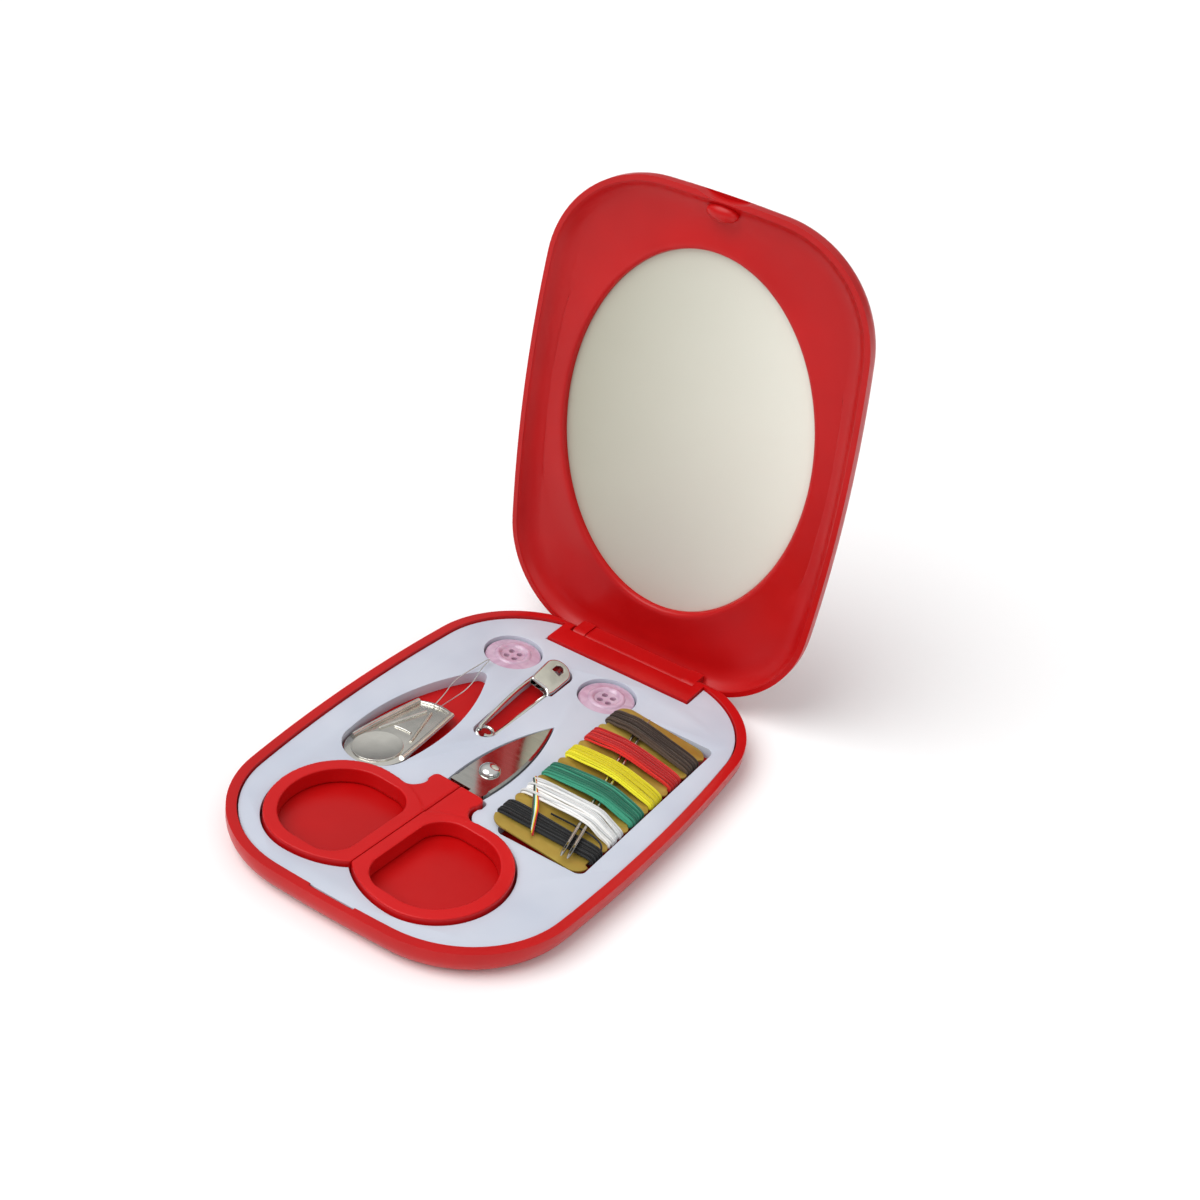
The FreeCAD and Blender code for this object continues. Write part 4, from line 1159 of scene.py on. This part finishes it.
# %% [markdown]
# ## Safety pin
# One springy wire runs down from the cap, curls round the coil and comes back up to its point. A
# helix for the coil and gentle curves for the arms make the two wires. The cap is folded sheet:
# a rounded slab with softened edges, a slot for the point and an eye cut through it.

# %% Safety pin
pin_place = moved_by(pin_x, pin_y, 4.2) @ turned_by(2.6, "X") @ turned_by(25, "Y")
coil_radius = 1.3
coil_rise = 1.25
arm_top = 20.0
arm_spread = 1.9
pin_wire = 0.72
cap_half = 2.6
cap_rise = 0.85
slot_half = 0.45
cap_fold, cap_edge = 0.5, 0.1


def coil_point(turns):
    """A point on the coil, counted in turns from the fixed arm."""
    angle = -math.tau * turns
    climb = min(max(turns - 0.5, 0), 0.5) * 2 * coil_rise
    return (coil_radius * math.cos(angle), coil_radius * math.sin(angle), climb - coil_rise / 2)


fixed = [(arm_spread, arm_top, 0), (arm_spread, arm_top - 4, -0.02), (1.75, 10, -0.2)]
fixed += [(coil_radius + 0.1, 3, -0.5)]
fixed += [coil_point(i / 24) for i in range(1, 30)]
fixed_arm = strand("fixed", fixed, pin_wire)
done(move(fixed_arm, pin_place), "pin_fixed_arm", "safety_pin", nickel_plate,
     ["safety_pin_back"])

pointed = [coil_point(1.36 + i / 28) for i in range(0, 4)]
pointed += [(-coil_radius - 0.25, 3, 0.55), (-2.05, 9, 0.3), (-2.2, 14, 0.1), (-arm_spread, arm_top, 0)]
pointed_arm = strand("pointed", pointed, pin_wire)
done(move(pointed_arm, pin_place), "pin_pointed_arm", "safety_pin_point", nickel_plate,
     ["safety_pin_arm"])

cap_outline = arc_points((0, cap_y), cap_half, 0, math.pi, 32)
cap_outline += [(-cap_half, cap_y), (-2.35, 17.5), (-2.1, 16.0), (1.2, 16.6), (2.3, 15.4), (cap_half, 17.5)]
eye_outline = [(-0.9, 21.0), (0.9, 21.0), (0.9, 22.4), (0.3, 23.1), (-0.3, 23.1), (-0.9, 22.4)]
cap = slab("cap", cap_outline, -cap_rise, cap_rise)
soften(cap, cap_fold, 5)
cut_shape(cap, brick((-5, 10, -slot_half), (2.35, 20.4, slot_half)))
cut_shape(cap, slab("eye", eye_outline, -2, 2))
soften(cap, cap_edge, 2)
done(move(cap, pin_place), "pin_cap", "safety_pin", nickel_plate, ["safety_pin_cap"])

# %% [markdown]
# ## Thread card
# The card is die-cut board with stepped edges, so the windings stay in place. Its outline runs
# down one side tab by tab and the other side is the same turned half round. It lies tilted, with
# its left edge up on the tray.

# %% Thread card
card_place = moved_by(16.3, 6.5, 4.82) @ turned_by(6.5, "Y")
card_half_width = 8.9
card_half_length = 20.7
card_half_thickness = 0.2
card_waist = 8.2
winding_pitch = 6.32
winding_colours = ["brown", "red", "yellow", "green", "white", "black"]
band_half = 2.12
board_edge = 0.08


def winding_y(index):
    return ((len(winding_colours) - 1) / 2 - index) * winding_pitch


def card_side():
    """The right edge of the card from back to front."""
    corner = 2.5
    points = arc_points((card_half_width - corner, card_half_length - corner), corner, math.pi / 2, 0, 8)
    last = None
    for index in range(len(winding_colours)):
        top, bottom = winding_y(index) + band_half, winding_y(index) - band_half
        if last is not None:
            tab = (card_waist, last), (card_half_width, (last + top) / 2), (card_waist, top)
            points += through_three(*tab, 8)
        points += [(card_waist, top)]
        last = bottom
        points += [(card_waist, bottom)]
    points += arc_points((card_half_width - corner, corner - card_half_length), corner, 0, -math.pi / 2, 8)
    return points


card_edge = card_side()
card = slab("card", card_edge + [(-x, -y) for x, y in card_edge], -card_half_thickness, card_half_thickness)
soften(card, board_edge, 2)
done(move(card, card_place), "card_board", "card", gold_board, ["thread_card"])

# %% [markdown]
# ## Needles
# Two needles lie slantwise on the card, points to the back, under all the threads but the black
# one. A needle is a grid rolled into thin rings that shrink to a point, and a long slot makes the
# eye.

# %% Needles
needle_back = Vector((-3.8, 20.3, card_half_thickness + 0.4))
needle_front = Vector((5.4, -20.4, card_half_thickness + 1.45))
needle_radius = 0.3
needle_spacing = 1.1
needle_sides = 20
eye_half, eye_front, eye_rear = 0.12, 0.8, 3.2
needle_run = needle_back - needle_front
needle_length = needle_run.length
needle_frame = moved_by(*needle_front) @ needle_run.to_track_quat("Z", "X").to_matrix().to_4x4()
needle_shares = [(0.0, 0.35), (0.25, 0.75), (0.7, 1.0), (2.0, 1.08), (3.6, 1.05), (5.0, 1.0), (30.0, 0.97),
                 (36.0, 0.85), (39.0, 0.6), (41.0, 0.3), (needle_length, 0.06)]


def needle(name, place):
    rings = []
    for along, share in needle_shares:
        circle = oval(0, 0, needle_radius * share, needle_radius * share, needle_sides)
        rings.append([Vector((x, y, along)) for x, y in circle])
    obj = roll_grid(name, rings, closed_ends=True)
    cut_shape(obj, brick((-2, -eye_half, eye_front), (2, eye_half, eye_rear)))
    return move(obj, card_place @ needle_frame @ moved_by(0, place * needle_spacing / 2, 0))


for side, place in (("left", -1), ("right", 1)):
    done(needle("needle", place), "sewing_needle_" + side, "needle_" + side, needle_steel,
         ["needle_" + side], 40)

# %% [markdown]
# ## Thread windings
# Each winding is one thread led round and round the card: down one layer of turns and back over
# it in a second and a third, looser and narrower layer. A loop lays the control points of one long
# smooth strand. Where it crosses the needles the thread rises over them, and small seeded shifts
# keep the turns from looking machined.

# %% Thread windings
thread_diameter = 0.42
layer_narrowing = 0.13
edge_share = 0.92
edge_wander = 0.08
top_wander = 0.16
slants = {"brown": 1.1, "red": 0.1, "yellow": 0.3, "green": -0.4, "white": -0.2, "black": -1.2}
turn_counts = {"brown": (9, 9, 7), "red": (9, 8, 6), "yellow": (9, 8, 6), "green": (9, 9, 7),
               "white": (8, 6, 3), "black": (9, 8, 5)}
band_widths = {"brown": 4.0, "red": 3.7, "yellow": 3.5, "green": 4.2, "white": 4.4, "black": 3.4}


def needle_share(y):
    return (needle_back.y - y) / (needle_back.y - needle_front.y)


def winding_points(colour, index):
    """Control points of one thread, in the frame of the card."""
    dice = random.Random(11 + index)
    middle = winding_y(index)
    over = needle_back.lerp(needle_front, needle_share(middle))
    points = []
    for layer, turns in enumerate(turn_counts[colour]):
        spread = band_widths[colour] * (1 - layer_narrowing * layer) / (turns - 1)
        lift = card_half_thickness + thread_diameter * (0.5 + 0.5 * layer)
        edge = card_waist + thread_diameter * (0.2 + 0.4 * layer)
        crest = lift
        if colour != "black":
            crest = over.z + needle_radius + thread_diameter * (0.55 + 0.5 * layer)
        for turn_number in range(turns):
            order = turn_number if layer == 0 else turns - 1 - turn_number
            y = middle + ((turns - 1) / 2 - order) * spread
            wander = 0.5 if colour == "white" else 0.3
            slant = slants[colour] + dice.uniform(-wander, wander) * 2
            edge_y = middle + (y - middle) * edge_share
            left_y = edge_y + slant / 2 + dice.uniform(-edge_wander, edge_wander)
            right_y = edge_y - slant / 2 + dice.uniform(-edge_wander, edge_wander)
            rise = dice.uniform(0, top_wander)

            def top(x, climb_share):
                share = (x + edge) / (2 * edge)
                height = lift + (crest - lift) * climb_share
                return (x, left_y + (right_y - left_y) * share + (y - middle) * 0.1, height + rise)

            points += [(-edge, left_y, -lift), (-edge - 0.3, left_y, 0), (-edge, left_y, lift)]
            points += [top(-edge + 2.0, 0.3), top((over.x - edge) / 2, 0.62), top(over.x - 1.5, 1.0)]
            points += [top(over.x, 1.0), top(over.x + 1.5, 1.0), top((over.x + edge) / 2, 0.6)]
            points += [top(edge - 1.6, 0.25)]
            points += [(edge, right_y, lift), (edge + 0.3, right_y, 0), (edge, right_y, -lift), (0, y, -lift)]
    return points


def lay_thread(obj, name, colour, nodes=()):
    """Carry a strand to the card and finish it in its colour."""
    done(move(obj, card_place), name, "card", thread_finishes[colour], nodes, 60)


for index, colour in enumerate(winding_colours):
    winding = strand("winding", winding_points(colour, index), thread_diameter, resolution=4)
    lay_thread(winding, "winding_" + colour, colour, ["thread_" + colour])

# %% [markdown]
# ## Loose thread ends
# A bundle of ends comes out at the left edge and lies across the black winding, and the black
# thread has one slack loop at its right end. Each is a short strand of its own colour.

# %% Loose thread ends
tail_diameter = 0.34
tail_spacing = 0.3
tail_colours = ["brown", "green", "white", "yellow", "red"]
for number, colour in enumerate(tail_colours):
    shift = (number - 2) * tail_spacing
    route = [(-8.9, -7.4 + shift * 0.5, 0.5), (-7.6 + shift * 0.3, -9.2, 0.9),
             (-6.0 + shift * 0.6, -11.6, 1.2), (-4.4 + shift * 0.9, -14.0, 1.42),
             (-3.0 + shift, -16.6 - shift, 1.2), (-2.0 + shift * 1.2, -18.4 - shift * 1.4, 0.75)]
    tail = strand("tail", route, tail_diameter)
    lay_thread(tail, "thread_end_" + colour, colour, ["thread_tails"] if number == 0 else ())

slack = strand("slack", [(-2.0, -12.9, 0.8), (2.5, -12.4, 0.9), (6.0, -12.2, 1.0), (8.4, -13.0, 0.9),
                         (8.7, -14.6, 0.7), (8.3, -16.0, 0.5)], tail_diameter)
lay_thread(slack, "thread_slack_black", "black")
